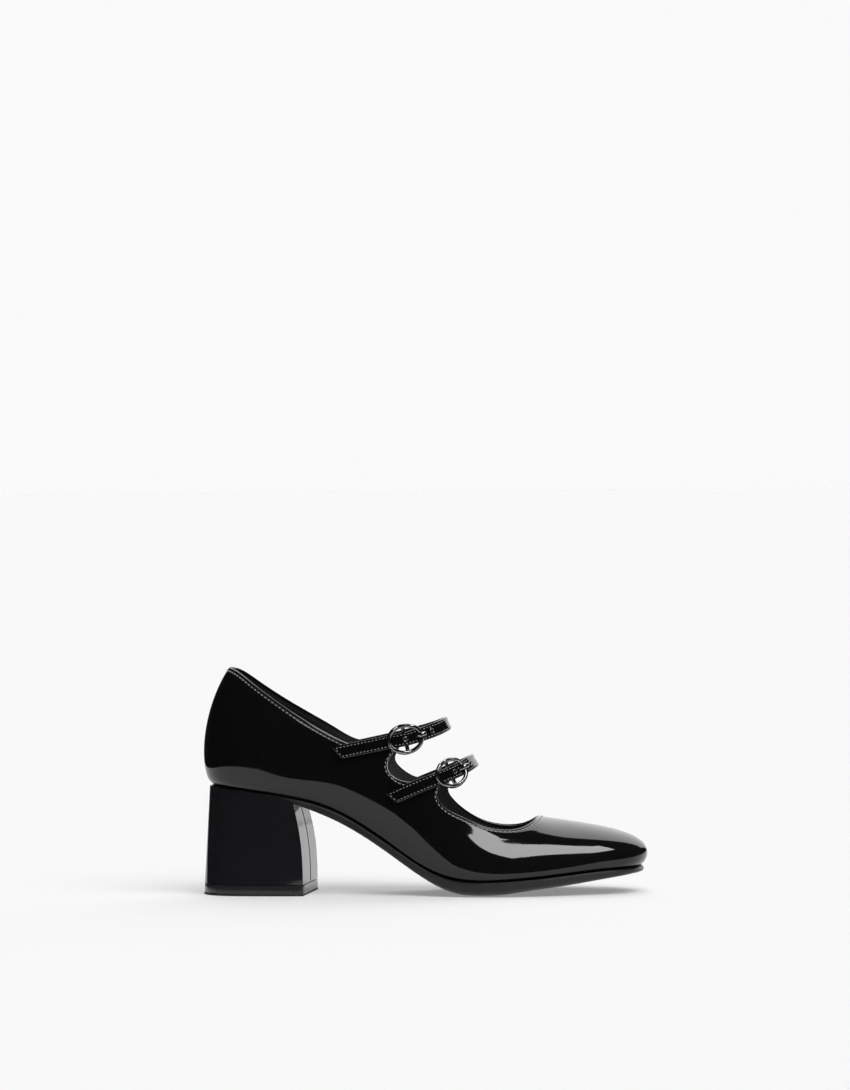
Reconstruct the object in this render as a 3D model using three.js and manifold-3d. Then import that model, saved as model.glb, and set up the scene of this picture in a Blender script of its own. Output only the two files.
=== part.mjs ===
// Mary jane shoe with two buckled instep straps on a block heel: a right shoe, in millimetres, +Z up.
// X runs from heel to toe, the outer side is at -Y and the inner side at +Y, and the floor is z = 0.
import * as THREE from 'three';
import { mergeVertices } from 'three/addons/utils/BufferGeometryUtils.js';
import Module from 'manifold-3d';

const wasm = await Module();
wasm.setup();

// Driving dimensions.
const LENGTH = 236;
const BALL_WIDTH = 79;
const SEAT_HEIGHT = 58.4;
const WALL = 1.8;
const GAP = 0.3;
const STRAP_WIDTH = 7.4;
const STRAP_THICKNESS = 1.6;
const BUCKLE_LENGTH = 18.8;
const BUCKLE_WIDTH = 15.9;
const WIRE_RADIUS = 0.8;
const TOP_PIECE_HEIGHT = 5.9;

// The tables below are cut for a model last of these sizes and are graded to the driving dimensions.
const MODEL = { length: 236, ballWidth: 79, seatHeight: 58.4 };
const GRADE_X = LENGTH / MODEL.length;
const GRADE_Y = BALL_WIDTH / MODEL.ballWidth;
const GRADE_Z = SEAT_HEIGHT / MODEL.seatHeight;

// The last, a row for each section from the heel back to the toe tip, in two tables of the same rows.
// x, out, in: the feather line, where the upper meets the sole; lift, swell: how the wall leaves it.
const FEATHER = [
  { x: 3.2, out: 0, in: 0, lift: 15.3, swell: 6.8 },
  { x: 9, out: 14.2, in: 13.8, lift: 15, swell: 6.5 },
  { x: 24, out: 22, in: 21, lift: 15, swell: 6 },
  { x: 45, out: 24.5, in: 22, lift: 16, swell: 5 },
  { x: 71, out: 24.5, in: 18.5, lift: 16, swell: 4.8 },
  { x: 98, out: 26.5, in: 17, lift: 14, swell: 4.6 },
  { x: 122, out: 32, in: 21.5, lift: 10, swell: 3.8 },
  { x: 146, out: 38, in: 29.5, lift: 9, swell: 3.4 },
  { x: 168, out: 38.5, in: 34, lift: 9, swell: 3 },
  { x: 191, out: 34, in: 32.5, lift: 9.5, swell: 2.8 },
  { x: 212.5, out: 27, in: 28, lift: 11.5, swell: 3.8 },
  { x: 228.6, out: 18.5, in: 20, lift: 15, swell: 6 },
  { x: 234.6, out: -1, in: 1, lift: 17.5, swell: 9 },
];
// sx, sout, sin, sz: the shoulder that pulls the wall inwards; tx, tout, tin, tz: the cone's top.
const CONE = [
  { sx: 2, sout: 0, sin: 0, sz: 103, tx: 14.6, tout: 0, tin: 0, tz: 121 },
  { sx: 9, sout: 15, sin: 15, sz: 101, tx: 18.5, tout: 10.5, tin: 10.5, tz: 118.5 },
  { sx: 26, sout: 25.5, sin: 24.5, sz: 96, tx: 30, tout: 18.5, tin: 18.5, tz: 113 },
  { sx: 48, sout: 28, sin: 27.5, sz: 87, tx: 51, tout: 23.5, tin: 23.5, tz: 104 },
  { sx: 75, sout: 30, sin: 29, sz: 78, tx: 78, tout: 26, tin: 26, tz: 96 },
  { sx: 101, sout: 33, sin: 31, sz: 69, tx: 105, tout: 27, tin: 27, tz: 89 },
  { sx: 127, sout: 37, sin: 34, sz: 54, tx: 130, tout: 27, tin: 27, tz: 71 },
  { sx: 149, sout: 37, sin: 36, sz: 39.5, tx: 149, tout: 19, tin: 20, tz: 53 },
  { sx: 165, sout: 34, sin: 34, sz: 37, tx: 163, tout: 13, tin: 14, tz: 46 },
  { sx: 182, sout: 30, sin: 31, sz: 35.7, tx: 171.5, tout: 8.5, tin: 9, tz: 42.8 },
  { sx: 199.5, sout: 22.5, sin: 24.5, sz: 34.2, tx: 175.8, tout: 5.2, tin: 5.6, tz: 40.9 },
  { sx: 211.5, sout: 12.5, sin: 14.5, sz: 34.5, tx: 177.6, tout: 2.6, tin: 2.9, tz: 40.4 },
  { sx: 217, sout: -0.5, sin: 0.5, sz: 34.8, tx: 178, tout: 0, tin: 0, tz: 40.3 },
];
const LAST = FEATHER.map((row, i) => ({ ...row, ...CONE[i] }));

// The feather line's height along the shoe, the sole's thickness under its middle, how much higher the
// sole's bottom is at its edge, and how far the sole's edge stands out from the feather line.
const SOLE = [
  { x: 0, feather: 58.8, thick: 1.5, crown: 0, proud: -0.7 },
  { x: 22, feather: 55.9, thick: 1.5, crown: 0, proud: -0.7 },
  { x: 42, feather: 53, thick: 1.7, crown: 0.1, proud: -0.5 },
  { x: 54, feather: 50.6, thick: 3.4, crown: 0.4, proud: 0 },
  { x: 75, feather: 43.4, thick: 5.2, crown: 0.6, proud: 0.3 },
  { x: 98, feather: 29.3, thick: 5.4, crown: 0.8, proud: 0.4 },
  { x: 110, feather: 21.2, thick: 5.9, crown: 1, proud: 0.6 },
  { x: 122, feather: 13.7, thick: 6.4, crown: 1.4, proud: 0.8 },
  { x: 135, feather: 8.8, thick: 7.3, crown: 1.7, proud: 1 },
  { x: 148, feather: 7.6, thick: 8, crown: 1.9, proud: 1.1 },
  { x: 162, feather: 7.9, thick: 7.5, crown: 1.9, proud: 1.1 },
  { x: 178, feather: 9, thick: 6.3, crown: 1.6, proud: 1.1 },
  { x: 196, feather: 10.8, thick: 5.9, crown: 1.4, proud: 0.9 },
  { x: 216, feather: 12.8, thick: 4.8, crown: 1.1, proud: 0.4 },
  { x: 236, feather: 13.6, thick: 2.9, crown: 0.6, proud: 0.4 },
];

// The topline from the back seam to the throat: the collar falls to the rear tab, dips in the notch
// between the tabs, rises to the front tab and sweeps down and round to the throat's middle.
const TOPLINE_OUT = [
  { x: 19, y: 8.5, z: 119 },
  { x: 29, y: 17, z: 112.3 },
  { x: 43, y: 22.5, z: 102.5 },
  { x: 59, y: 26, z: 92.2 },
  { x: 75, y: 28, z: 83.4 },
  { x: 85, y: 29, z: 80 },
  { x: 95, y: 29.5, z: 81.8 },
  { x: 101.8, y: 30, z: 83.2 },
  { x: 105.4, y: 30, z: 81 },
  { x: 104.1, y: 30.5, z: 76 },
  { x: 101.3, y: 31.5, z: 71 },
  { x: 101.8, y: 32, z: 66.4 },
  { x: 106.4, y: 32.5, z: 62.3 },
  { x: 113, y: 32.5, z: 60.6 },
  { x: 120, y: 32.5, z: 62.3 },
  { x: 126.4, y: 32, z: 64.8 },
  { x: 130.2, y: 31.5, z: 62.8 },
  { x: 129, y: 32, z: 58.4 },
  { x: 127.7, y: 33, z: 53.3 },
  { x: 132, y: 33, z: 47 },
  { x: 141.5, y: 32, z: 41.8 },
  { x: 151, y: 31, z: 37.4 },
  { x: 160.5, y: 29.5, z: 35 },
  { x: 169, y: 26, z: 34.3 },
  { x: 174.8, y: 19.5, z: 35.4 },
  { x: 177.8, y: 10.5, z: 38.2 },
];
const TOPLINE_IN = [
  { x: 19, y: 8.5, z: 119 },
  { x: 27, y: 15, z: 113 },
  { x: 36, y: 20, z: 106.4 },
  { x: 53, y: 25, z: 96 },
  { x: 69, y: 27, z: 86.4 },
  { x: 82, y: 28, z: 79.8 },
  { x: 91, y: 28.5, z: 80 },
  { x: 98.6, y: 29, z: 81.4 },
  { x: 102.4, y: 29.5, z: 79.2 },
  { x: 101.9, y: 30, z: 74.6 },
  { x: 99.8, y: 30.5, z: 70.2 },
  { x: 100.8, y: 31, z: 66.4 },
  { x: 105.4, y: 31.5, z: 61.9 },
  { x: 111.6, y: 31.5, z: 59.1 },
  { x: 119, y: 31.5, z: 61 },
  { x: 125.6, y: 31, z: 63.6 },
  { x: 129.6, y: 31, z: 61.6 },
  { x: 129.4, y: 31.5, z: 57.2 },
  { x: 128.4, y: 32.5, z: 52.4 },
  { x: 132, y: 32.5, z: 46.9 },
  { x: 140.2, y: 32, z: 40.6 },
  { x: 150, y: 31, z: 36 },
  { x: 159.5, y: 29.5, z: 34.1 },
  { x: 168.4, y: 26, z: 34 },
  { x: 174.5, y: 19, z: 35.6 },
  { x: 177.7, y: 10, z: 38.3 },
];
const TOPLINE_BACK = { x: 14.9, z: 120.3 };
const THROAT = { x: 178.6, z: 40.3 };

// The straps' middle lines, from the outer quarter over the instep to the inner quarter. A row that is
// sewn lies on the upper; back and rise give the direction of the strap's width where it is free.
const STRAP_REAR = [
  { x: 74.6, y: -29, z: 75.9, sewn: true },
  { x: 84, y: -30, z: 77.9, sewn: true },
  { x: 94, y: -30.5, z: 79.8, sewn: true },
  { x: 103.2, y: -30, z: 81.6, sewn: true },
  { x: 111, y: -29.6, z: 83.1, back: 0.2, rise: 1 },
  { x: 119.2, y: -26.6, z: 85.3, back: 0.26, rise: 1 },
  { x: 126.7, y: -19.5, z: 87.8, back: 0.34, rise: 1 },
  { x: 130.2, y: -9.5, z: 89.3, back: 0.4, rise: 1 },
  { x: 131, y: 1, z: 89.8, back: 0.42, rise: 1 },
  { x: 129.4, y: 11.5, z: 89.2, back: 0.4, rise: 1 },
  { x: 124.4, y: 20.5, z: 87.1, back: 0.34, rise: 1 },
  { x: 116.3, y: 27, z: 84.5, back: 0.26, rise: 1 },
  { x: 108.6, y: 29.8, z: 82.4, back: 0.2, rise: 1 },
  { x: 100, y: 30, z: 80.4, sewn: true },
  { x: 90, y: 29.5, z: 78.2, sewn: true },
  { x: 80, y: 29, z: 76, sewn: true },
  { x: 72, y: 28.5, z: 74.2, sewn: true },
];
const STRAP_FRONT = [
  { x: 103.6, y: -32.5, z: 52, sewn: true },
  { x: 112, y: -33, z: 55.6, sewn: true },
  { x: 120.4, y: -33, z: 59, sewn: true },
  { x: 127.6, y: -32.5, z: 61.9, sewn: true },
  { x: 135, y: -28.2, z: 64.9, back: 0.5, rise: 1 },
  { x: 140.9, y: -21, z: 67.5, back: 0.56, rise: 1 },
  { x: 144.2, y: -11, z: 69.4, back: 0.6, rise: 1 },
  { x: 145.1, y: 0.5, z: 70, back: 0.62, rise: 1 },
  { x: 143.8, y: 12, z: 69.3, back: 0.6, rise: 1 },
  { x: 139.9, y: 21.6, z: 67.2, back: 0.56, rise: 1 },
  { x: 133.6, y: 28.4, z: 64.5, back: 0.5, rise: 1 },
  { x: 126.6, y: 31.8, z: 61.6, sewn: true },
  { x: 118.6, y: 32.2, z: 58.4, sewn: true },
  { x: 110.4, y: 32, z: 54.9, sewn: true },
  { x: 102.6, y: 31.5, z: 51.3, sewn: true },
];

// Mesh sizes and the small parts' dimensions.
const COLUMNS = 112;
const WALL_ROWS = 9;
const LINING_ROWS = [9, 7, 5, 3, 1];
const EVEN_FEET = 0.5;
const GUIDE_DEPTH = 14;
const WALL_HEIGHT = 90;
const CORNER_ROOM = 1.2;
const NUDGE = 0.25;
const LOOSEN_TURNS = 8;
const SOLE_COLUMNS = 88;
const FEATHER_GAP = 0.52;
const MARGIN_WIDTH = 8;
const MARGIN_THICKNESS = 1.2;
const INSOLE_THICKNESS = 2.4;
const SEWN_LIFT = 0.45;
const SLANT = 0.55;
const STRAP_STEP = 5;
const STRAP_BEND_STEP = 2.6;
const HOLE_RADIUS = 1.9;
const HOLE_AHEAD = 6.2;
const STRAP_HUMP = 0.9;
const STRAP_DIP = 0.7;
const RING_LIFT_BEHIND = 1.9;
const RING_LIFT_AHEAD = 1.45;
const RING_LIFT_SIDE = 0.2;
const BAR_RADIUS = 0.75;
const BAR_LIFT = -1.1;
const PRONG_WIDTH = 1.8;
const PRONG_THICKNESS = 1;

// The heel's outline at the floor, from the outer front corner round the back to the inner one.
const HEEL_BASE = [
  { x: 55.6, y: -27 },
  { x: 40, y: -26.8 },
  { x: 22, y: -25.2 },
  { x: 9.5, y: -21 },
  { x: 2.4, y: -12.5 },
  { x: 0.4, y: -1.5 },
  { x: 2.8, y: 9.6 },
  { x: 10, y: 17.8 },
  { x: 23, y: 21.8 },
  { x: 41, y: 23 },
  { x: 58.2, y: 22.2 },
];
const BREAST_TOP_OUT = 50.4;
const BREAST_TOP_IN = 52.8;
const HEEL_COLUMNS = 40;
const BREAST_COLUMNS = 6;
const HEEL_LEVELS = 6;

// The prong's middle line beside the buckle's bar: along the strap, and out from its middle.
const PRONG_PATH = [
  { along: 1.35, lift: -0.8 },
  { along: 4.2, lift: -1.45 },
  { along: 5.6, lift: -0.9 },
  { along: 6.6, lift: 0.7 },
  { along: 7.6, lift: 2.5 },
  { along: 8.9, lift: 3.1 },
  { along: 10.4, lift: 2.8 },
];

// ---- curves ----

// Second derivatives of a cubic spline through the values, solved by elimination.
function splineBends(knots, values, period) {
  const n = values.length;
  const rows = values.map((_, i) => {
    const row = new Array(n + 1).fill(0);
    if (!period && (i === 0 || i === n - 1)) {
      row[i] = 1;
      return row;
    }
    const before = (i + n - 1) % n;
    const after = (i + 1) % n;
    const h0 = i ? knots[i] - knots[i - 1] : period - knots[n - 1] + knots[0];
    const h1 = i < n - 1 ? knots[i + 1] - knots[i] : period - knots[i] + knots[0];
    row[before] += h0 / 6;
    row[i] += (h0 + h1) / 3;
    row[after] += h1 / 6;
    row[n] = (values[after] - values[i]) / h1 - (values[i] - values[before]) / h0;
    return row;
  });
  for (let c = 0; c < n; c++) {
    for (let r = c + 1; r < n; r++) {
      const k = rows[r][c] / rows[c][c];
      if (k) for (let j = c; j <= n; j++) rows[r][j] -= k * rows[c][j];
    }
  }
  const bends = new Array(n);
  for (let r = n - 1; r >= 0; r--) {
    let sum = rows[r][n];
    for (let j = r + 1; j < n; j++) sum -= rows[r][j] * bends[j];
    bends[r] = sum / rows[r][r];
  }
  return bends;
}

// A smooth function through the values; with a period it closes on itself.
function spline(knots, values, period = 0) {
  const bends = splineBends(knots, values, period);
  const n = values.length;
  return (at) => {
    const t = period ? ((at % period) + period) % period : at;
    let i = 0;
    while (i < n - (period ? 1 : 2) && knots[i + 1] <= t) i++;
    const j = (i + 1) % n;
    const end = i + 1 < n ? knots[i + 1] : period;
    const h = end - knots[i];
    const a = (end - t) / h;
    const b = 1 - a;
    const curve = ((a * a * a - a) * bends[i] + (b * b * b - b) * bends[j]) * h * h / 6;
    return a * values[i] + b * values[j] + curve;
  };
}

function pointSpline(knots, points, period = 0) {
  const parts = ['x', 'y', 'z'].map((axis) => spline(knots, points.map((p) => p[axis]), period));
  return (t) => new THREE.Vector3(parts[0](t), parts[1](t), parts[2](t));
}

function chordKnots(points) {
  const knots = [0];
  for (let i = 1; i < points.length; i++) knots.push(knots[i - 1] + points[i].distanceTo(points[i - 1]));
  return knots;
}

// ---- the last: a surface from the feather line (v = 0) to the cone's top (v = 1) ----

const soleX = SOLE.map((row) => row.x * GRADE_X);
const featherHeight = spline(soleX, SOLE.map((row) => row.feather * GRADE_Z));
const soleThickness = spline(soleX, SOLE.map((row) => row.thick));
const soleCrown = spline(soleX, SOLE.map((row) => row.crown));
const soleProud = spline(soleX, SOLE.map((row) => row.proud));

// One point for each section on the outer side and back on the inner side.
function sectionRing(pick) {
  const last = LAST.length - 1;
  const ring = LAST.map((row) => pick(row, -1));
  for (let i = last - 1; i > 0; i--) ring.push(pick(LAST[i], 1));
  return ring;
}

function sidePoint(x, outer, inner, z, side) {
  const y = side < 0 ? -outer : inner;
  return new THREE.Vector3(x * GRADE_X, y * GRADE_Y, z * GRADE_Z);
}

const featherRing = sectionRing((row, side) => {
  const point = sidePoint(row.x, row.out, row.in, 0, side);
  return point.setZ(featherHeight(point.x) + FEATHER_GAP);
});
const shoulderRing = sectionRing((row, side) => sidePoint(row.sx, row.sout, row.sin, row.sz, side));
const coneRing = sectionRing((row, side) => sidePoint(row.tx, row.tout, row.tin, row.tz, side));

// The same knots serve every ring, even on both sides, so that sections line up.
function ringKnots() {
  const n = featherRing.length;
  const steps = featherRing.map((_, i) => [featherRing, shoulderRing, coneRing]
    .reduce((sum, ring) => sum + ring[i].distanceTo(ring[(i + 1) % n]) / 3, 0));
  const even = steps.map((step, i) => (step + steps[n - 1 - i]) / 2);
  const knots = [0];
  for (let i = 0; i < n; i++) knots.push(knots[i] + even[i]);
  return knots;
}

const knots = ringKnots();
const GIRTH = knots.pop();
const featherLine = pointSpline(knots, featherRing, GIRTH);

function flatOutward(line, u) {
  const step = 0.05;
  const along = line(u + step).sub(line(u - step));
  return new THREE.Vector3(-along.y, along.x, 0).normalize().negate();
}

const swellRing = sectionRing((row, side) => ({ row, side })).map(({ row }, i) => {
  const outward = flatOutward(featherLine, knots[i]);
  return featherRing[i].clone().addScaledVector(outward, row.swell)
    .add(new THREE.Vector3(0, 0, row.lift * GRADE_Z));
});
const swellLine = pointSpline(knots, swellRing, GIRTH);
const shoulderLine = pointSpline(knots, shoulderRing, GIRTH);
const coneLine = pointSpline(knots, coneRing, GIRTH);

function lastPoint(u, v) {
  const w = 1 - v;
  return featherLine(u).multiplyScalar(w * w * w)
    .addScaledVector(swellLine(u), 3 * w * w * v)
    .addScaledVector(shoulderLine(u), 3 * w * v * v)
    .addScaledVector(coneLine(u), v * v * v);
}

function lastFrame(u, v) {
  const step = 0.002;
  const up = lastPoint(u, v + step).sub(lastPoint(u, v - step)).normalize();
  const along = lastPoint(u + step * 100, v).sub(lastPoint(u - step * 100, v)).normalize();
  const outward = new THREE.Vector3().crossVectors(along, up).normalize();
  return { up, along, outward };
}

// The place on the last nearest to a point, found by stepping down from a first guess.
function nearestOnLast(target, guess) {
  let { u, v } = guess;
  const step = 0.001;
  for (let turn = 0; turn < 30; turn++) {
    const here = lastPoint(u, v);
    const du = lastPoint(u + step, v).sub(here).divideScalar(step);
    const dv = lastPoint(u, v + step).sub(here).divideScalar(step);
    const miss = target.clone().sub(here);
    const uu = du.dot(du);
    const uv = du.dot(dv);
    const vv = dv.dot(dv);
    const mu = miss.dot(du);
    const mv = miss.dot(dv);
    const det = uu * vv - uv * uv + 1e-9;
    const move = Math.min(1, 8 / (Math.abs((mu * vv - mv * uv) / det) + 1e-9));
    u += (mu * vv - mv * uv) / det * move;
    v = THREE.MathUtils.clamp(v + (mv * uu - mu * uv) / det * move, 0.05, 1.02);
  }
  return { u, v };
}

function firstGuess(target) {
  let best = null;
  for (let i = 0; i < 120; i++) {
    for (let j = 1; j <= 12; j++) {
      const u = GIRTH * i / 120;
      const v = j / 12;
      const distance = lastPoint(u, v).distanceTo(target);
      if (!best || distance < best.distance) best = { u, v, distance };
    }
  }
  return best;
}

// ---- meshes ----

function orient(geometry) {
  const p = geometry.getAttribute('position');
  const index = geometry.getIndex().array;
  const [a, b, c] = [new THREE.Vector3(), new THREE.Vector3(), new THREE.Vector3()];
  let volume = 0;
  for (let i = 0; i < index.length; i += 3) {
    a.fromBufferAttribute(p, index[i]);
    b.fromBufferAttribute(p, index[i + 1]);
    c.fromBufferAttribute(p, index[i + 2]);
    volume += a.dot(b.cross(c));
  }
  if (volume < 0) {
    for (let i = 0; i < index.length; i += 3) {
      [index[i], index[i + 1]] = [index[i + 1], index[i]];
    }
  }
  return geometry;
}

function meshOf(points, faces) {
  const geometry = new THREE.BufferGeometry();
  const numbers = points.flatMap((q) => [q.x, q.y, q.z]);
  geometry.setAttribute('position', new THREE.Float32BufferAttribute(numbers, 3));
  geometry.setIndex(faces);
  const merged = mergeVertices(geometry, 2e-3);
  const index = Array.from(merged.getIndex().array);
  const kept = [];
  for (let i = 0; i < index.length; i += 3) {
    const [a, b, c] = index.slice(i, i + 3);
    if (a !== b && b !== c && c !== a) kept.push(a, b, c);
  }
  merged.setIndex(kept);
  return orient(merged);
}

// A skin over rings of equal length. joined closes the last ring onto the first, capped fills the ends.
function skin(rings, { joined = false, capped = false } = {}) {
  const n = rings[0].length;
  const faces = [];
  const last = joined ? rings.length : rings.length - 1;
  for (let r = 0; r < last; r++) {
    const next = (r + 1) % rings.length;
    for (let i = 0; i < n; i++) {
      const j = (i + 1) % n;
      const [a, b, c, d] = [r * n + i, r * n + j, next * n + j, next * n + i];
      faces.push(a, b, c, a, c, d);
    }
  }
  if (capped) {
    const top = (rings.length - 1) * n;
    for (let i = 1; i < n - 1; i++) faces.push(0, i + 1, i, top, top + i, top + i + 1);
  }
  return meshOf(rings.flat(), faces);
}

function solidOf(geometry) {
  const mesh = new wasm.Mesh({
    numProp: 3,
    vertProperties: new Float32Array(geometry.getAttribute('position').array),
    triVerts: new Uint32Array(geometry.getIndex().array),
  });
  return new wasm.Manifold(mesh);
}

function geometryOf(solid) {
  const { vertProperties, triVerts } = solid.getMesh();
  const geometry = new THREE.BufferGeometry();
  geometry.setAttribute('position', new THREE.Float32BufferAttribute(vertProperties, 3));
  geometry.setIndex(Array.from(triVerts));
  return geometry;
}

// ---- upper ----

const toplinePoints = [
  sidePoint(TOPLINE_BACK.x, 0, 0, TOPLINE_BACK.z, 1),
  ...TOPLINE_OUT.map((row) => sidePoint(row.x, row.y, 0, row.z, -1)),
  sidePoint(THROAT.x, 0, 0, THROAT.z, 1),
  ...TOPLINE_IN.toReversed().map((row) => sidePoint(row.x, 0, row.y, row.z, 1)),
];

// Places round a closed line, an even number of steps apart, and closer together where it turns.
function spacedPlaces(line, period, turnLength) {
  const fine = 2000;
  const points = Array.from({ length: fine }, (_, i) => line(period * i / fine));
  const weights = [0];
  for (let i = 1; i <= fine; i++) {
    const ahead = points[(i + 1) % fine].clone().sub(points[i % fine]);
    const behind = points[i % fine].clone().sub(points[i - 1]);
    weights.push(weights[i - 1] + behind.length() + turnLength * behind.angleTo(ahead));
  }
  return Array.from({ length: COLUMNS }, (_, k) => {
    const at = weights.findIndex((weight) => weight >= weights[fine] * k / COLUMNS - 1e-9);
    return period * at / fine;
  });
}

function toplineColumns() {
  const chord = chordKnots([...toplinePoints, toplinePoints[0]]);
  const period = chord.pop();
  const line = pointSpline(chord, toplinePoints, period);
  return spacedPlaces(line, period, 3).map(line);
}

function evenFeet() {
  return spacedPlaces(featherLine, GIRTH, 14);
}

// The mean of a value over the neighbouring columns, with the ring's closing counted out.
function evened(values, i, reach, period = 0) {
  let sum = 0;
  let weight = 0;
  for (let k = -reach; k <= reach; k++) {
    const near = values[(i + k + COLUMNS) % COLUMNS];
    const turned = period ? near - period * Math.round((near - values[i]) / period) : near;
    const share = 1 + Math.cos(Math.PI * k / (reach + 1));
    sum += turned * share;
    weight += share;
  }
  return sum / weight;
}

// Each column of the wall is a curve on the last: from its foot on the feather line, by way of a
// guide straight below the topline, to its top. The guides are evened out, so that columns don't cross.
function wallColumns() {
  let guess = firstGuess(toplinePoints[0]);
  const points = toplineColumns();
  const tops = points.map((point) => {
    guess = nearestOnLast(point, guess);
    return guess;
  });
  const below = (depth) => tops.map((top, i) => {
    const along = points[(i + 1) % COLUMNS].clone().sub(points[(i + COLUMNS - 1) % COLUMNS]).normalize();
    const inward = along.cross(lastFrame(top.u, top.v).outward).setLength(depth);
    return nearestOnLast(points[i].clone().add(inward), top);
  });
  const guides = below(GUIDE_DEPTH);
  const guideU = guides.map((guide) => guide.u);
  const guideV = guides.map((guide) => guide.v);
  const feet = evenFeet();
  return tops.map((top, i) => {
    const middle = evened(guideU, i, 8, GIRTH);
    const even = feet[i] - GIRTH * Math.round((feet[i] - middle) / GIRTH);
    return {
      foot: THREE.MathUtils.lerp(middle, even, EVEN_FEET),
      middle,
      rise: evened(guideV, i, 10) * 0.45,
      guideU: evened(guideU, i, 7, GIRTH),
      guideV: evened(guideV, i, 7),
      top: top.u,
      height: top.v,
    };
  });
}

function wallPlace(column, t) {
  const w = 1 - t;
  const [a, b, c, d] = [w * w * w, 3 * w * w * t, 3 * w * t * t, t * t * t];
  const low = THREE.MathUtils.lerp(column.foot, column.middle, 0.45);
  return {
    u: a * column.foot + b * low + c * column.guideU + d * column.top,
    v: b * column.rise + c * column.guideV + d * column.height,
  };
}

// The smallest corner, in mm2, of the four quads round a place of the wall's grid.
function smallestCorner(grid, j, i, place) {
  const at = (across, up) => {
    const { u, v } = grid[j + up][(i + across + COLUMNS) % COLUMNS];
    return [u - place.u - GIRTH * Math.round((u - place.u) / GIRTH), (v - place.v) * WALL_HEIGHT];
  };
  let smallest = Infinity;
  for (const [across, up] of [[1, 1], [-1, 1], [-1, -1], [1, -1]]) {
    const quad = [[0, 0], at(across, 0), at(across, up), at(0, up)];
    for (let k = 0; k < 4; k++) {
      const [here, next, last] = [quad[k], quad[(k + 1) % 4], quad[(k + 3) % 4]];
      const turn = (next[0] - here[0]) * (last[1] - here[1]) - (next[1] - here[1]) * (last[0] - here[0]);
      smallest = Math.min(smallest, turn * across * up);
    }
  }
  return smallest;
}

// A place moved toward the middle of its four neighbours, or to where the quads round it open most.
function loosened(grid, j, i) {
  const place = grid[j][i];
  const [ahead, behind] = [grid[j][(i + 1) % COLUMNS], grid[j][(i + COLUMNS - 1) % COLUMNS]];
  const around = [ahead, behind, grid[j - 1][i], grid[j + 1][i]];
  const near = (u) => u - GIRTH * Math.round((u - place.u) / GIRTH);
  const middle = {
    u: (place.u + around.reduce((sum, { u }) => sum + near(u), 0) / 4) / 2,
    v: (place.v + around.reduce((sum, { v }) => sum + v, 0) / 4) / 2,
  };
  if (smallestCorner(grid, j, i, middle) > CORNER_ROOM) return middle;
  const choices = [place, middle];
  for (let turn = 0; turn < 8; turn++) {
    const angle = Math.PI * turn / 4;
    choices.push({
      u: place.u + NUDGE * Math.cos(angle),
      v: place.v + NUDGE * Math.sin(angle) / WALL_HEIGHT,
    });
  }
  const room = choices.map((choice) => smallestCorner(grid, j, i, choice));
  return choices[room.indexOf(Math.max(...room))];
}

function wallGrid() {
  const columns = wallColumns();
  const rimStart = 0.985;
  const grid = Array.from({ length: WALL_ROWS + 1 }, (_, j) => columns
    .map((column) => wallPlace(column, rimStart * j / WALL_ROWS)));
  for (let turn = 0; turn < LOOSEN_TURNS; turn++) {
    for (let j = WALL_ROWS - 1; j > 0; j--) {
      for (let i = 0; i < COLUMNS; i++) grid[j][i] = loosened(grid, j, i);
    }
  }
  return { columns, grid };
}

function wallPoint({ u, v }, depth) {
  return lastPoint(u, v).addScaledVector(lastFrame(u, v).outward, -depth);
}

// A point of the rim, a half round between the outside and the lining.
function rimPoint(column, angle) {
  const { u, v } = wallPlace(column, 1);
  const { outward, up } = lastFrame(u, v);
  const radius = WALL / 2;
  return lastPoint(u, v).addScaledVector(outward, -radius)
    .addScaledVector(up, -radius)
    .addScaledVector(outward, radius * Math.cos(angle))
    .addScaledVector(up, radius * Math.sin(angle));
}

function marginPoint(column, inset, height) {
  const point = featherLine(column.foot).addScaledVector(flatOutward(featherLine, column.foot), -inset);
  return point.setZ(featherHeight(point.x) + FEATHER_GAP + height);
}

function upper() {
  const { columns, grid } = wallGrid();
  const ring = (make) => columns.map(make);
  const rings = grid.map((row) => row.map((place) => wallPoint(place, 0)));
  for (const angle of [0.25, 0.5, 0.75]) rings.push(ring((column) => rimPoint(column, Math.PI * angle)));
  for (const j of LINING_ROWS) rings.push(grid[j].map((place) => wallPoint(place, WALL)));
  rings.push(ring((column) => marginPoint(column, WALL, MARGIN_THICKNESS)));
  rings.push(ring((column) => marginPoint(column, MARGIN_WIDTH, MARGIN_THICKNESS)));
  rings.push(ring((column) => marginPoint(column, MARGIN_WIDTH, 0)));
  return skin(rings, { joined: true });
}

// ---- sole, insole and heel ----

function bottomHeight(x) {
  return Math.max(0, featherHeight(x) - soleThickness(x));
}

// A ring of points beside the feather line, moved in by inset, at the height that raise gives for an x.
function edgeRing(inset, raise, standsOut = false) {
  return Array.from({ length: SOLE_COLUMNS }, (_, i) => {
    const u = GIRTH * i / SOLE_COLUMNS;
    const point = featherLine(u);
    const out = (standsOut ? soleProud(point.x) : 0) - inset;
    point.addScaledVector(flatOutward(featherLine, u), out);
    return point.setZ(raise(point.x));
  });
}

// The line along the middle where both sides of a plate close.
function spineRing(raise) {
  const start = 12 * GRADE_X;
  const end = 226 * GRADE_X;
  const heel = featherRing[0].x;
  const toe = featherLine(GIRTH / 2).x;
  return Array.from({ length: SOLE_COLUMNS }, (_, i) => {
    const u = GIRTH * i / SOLE_COLUMNS;
    const outer = featherLine(u);
    const inner = featherLine(-u);
    const x = start + (end - start) * (outer.x - heel) / (toe - heel);
    return new THREE.Vector3(x, (outer.y + inner.y) / 2, raise(x));
  });
}

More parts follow.
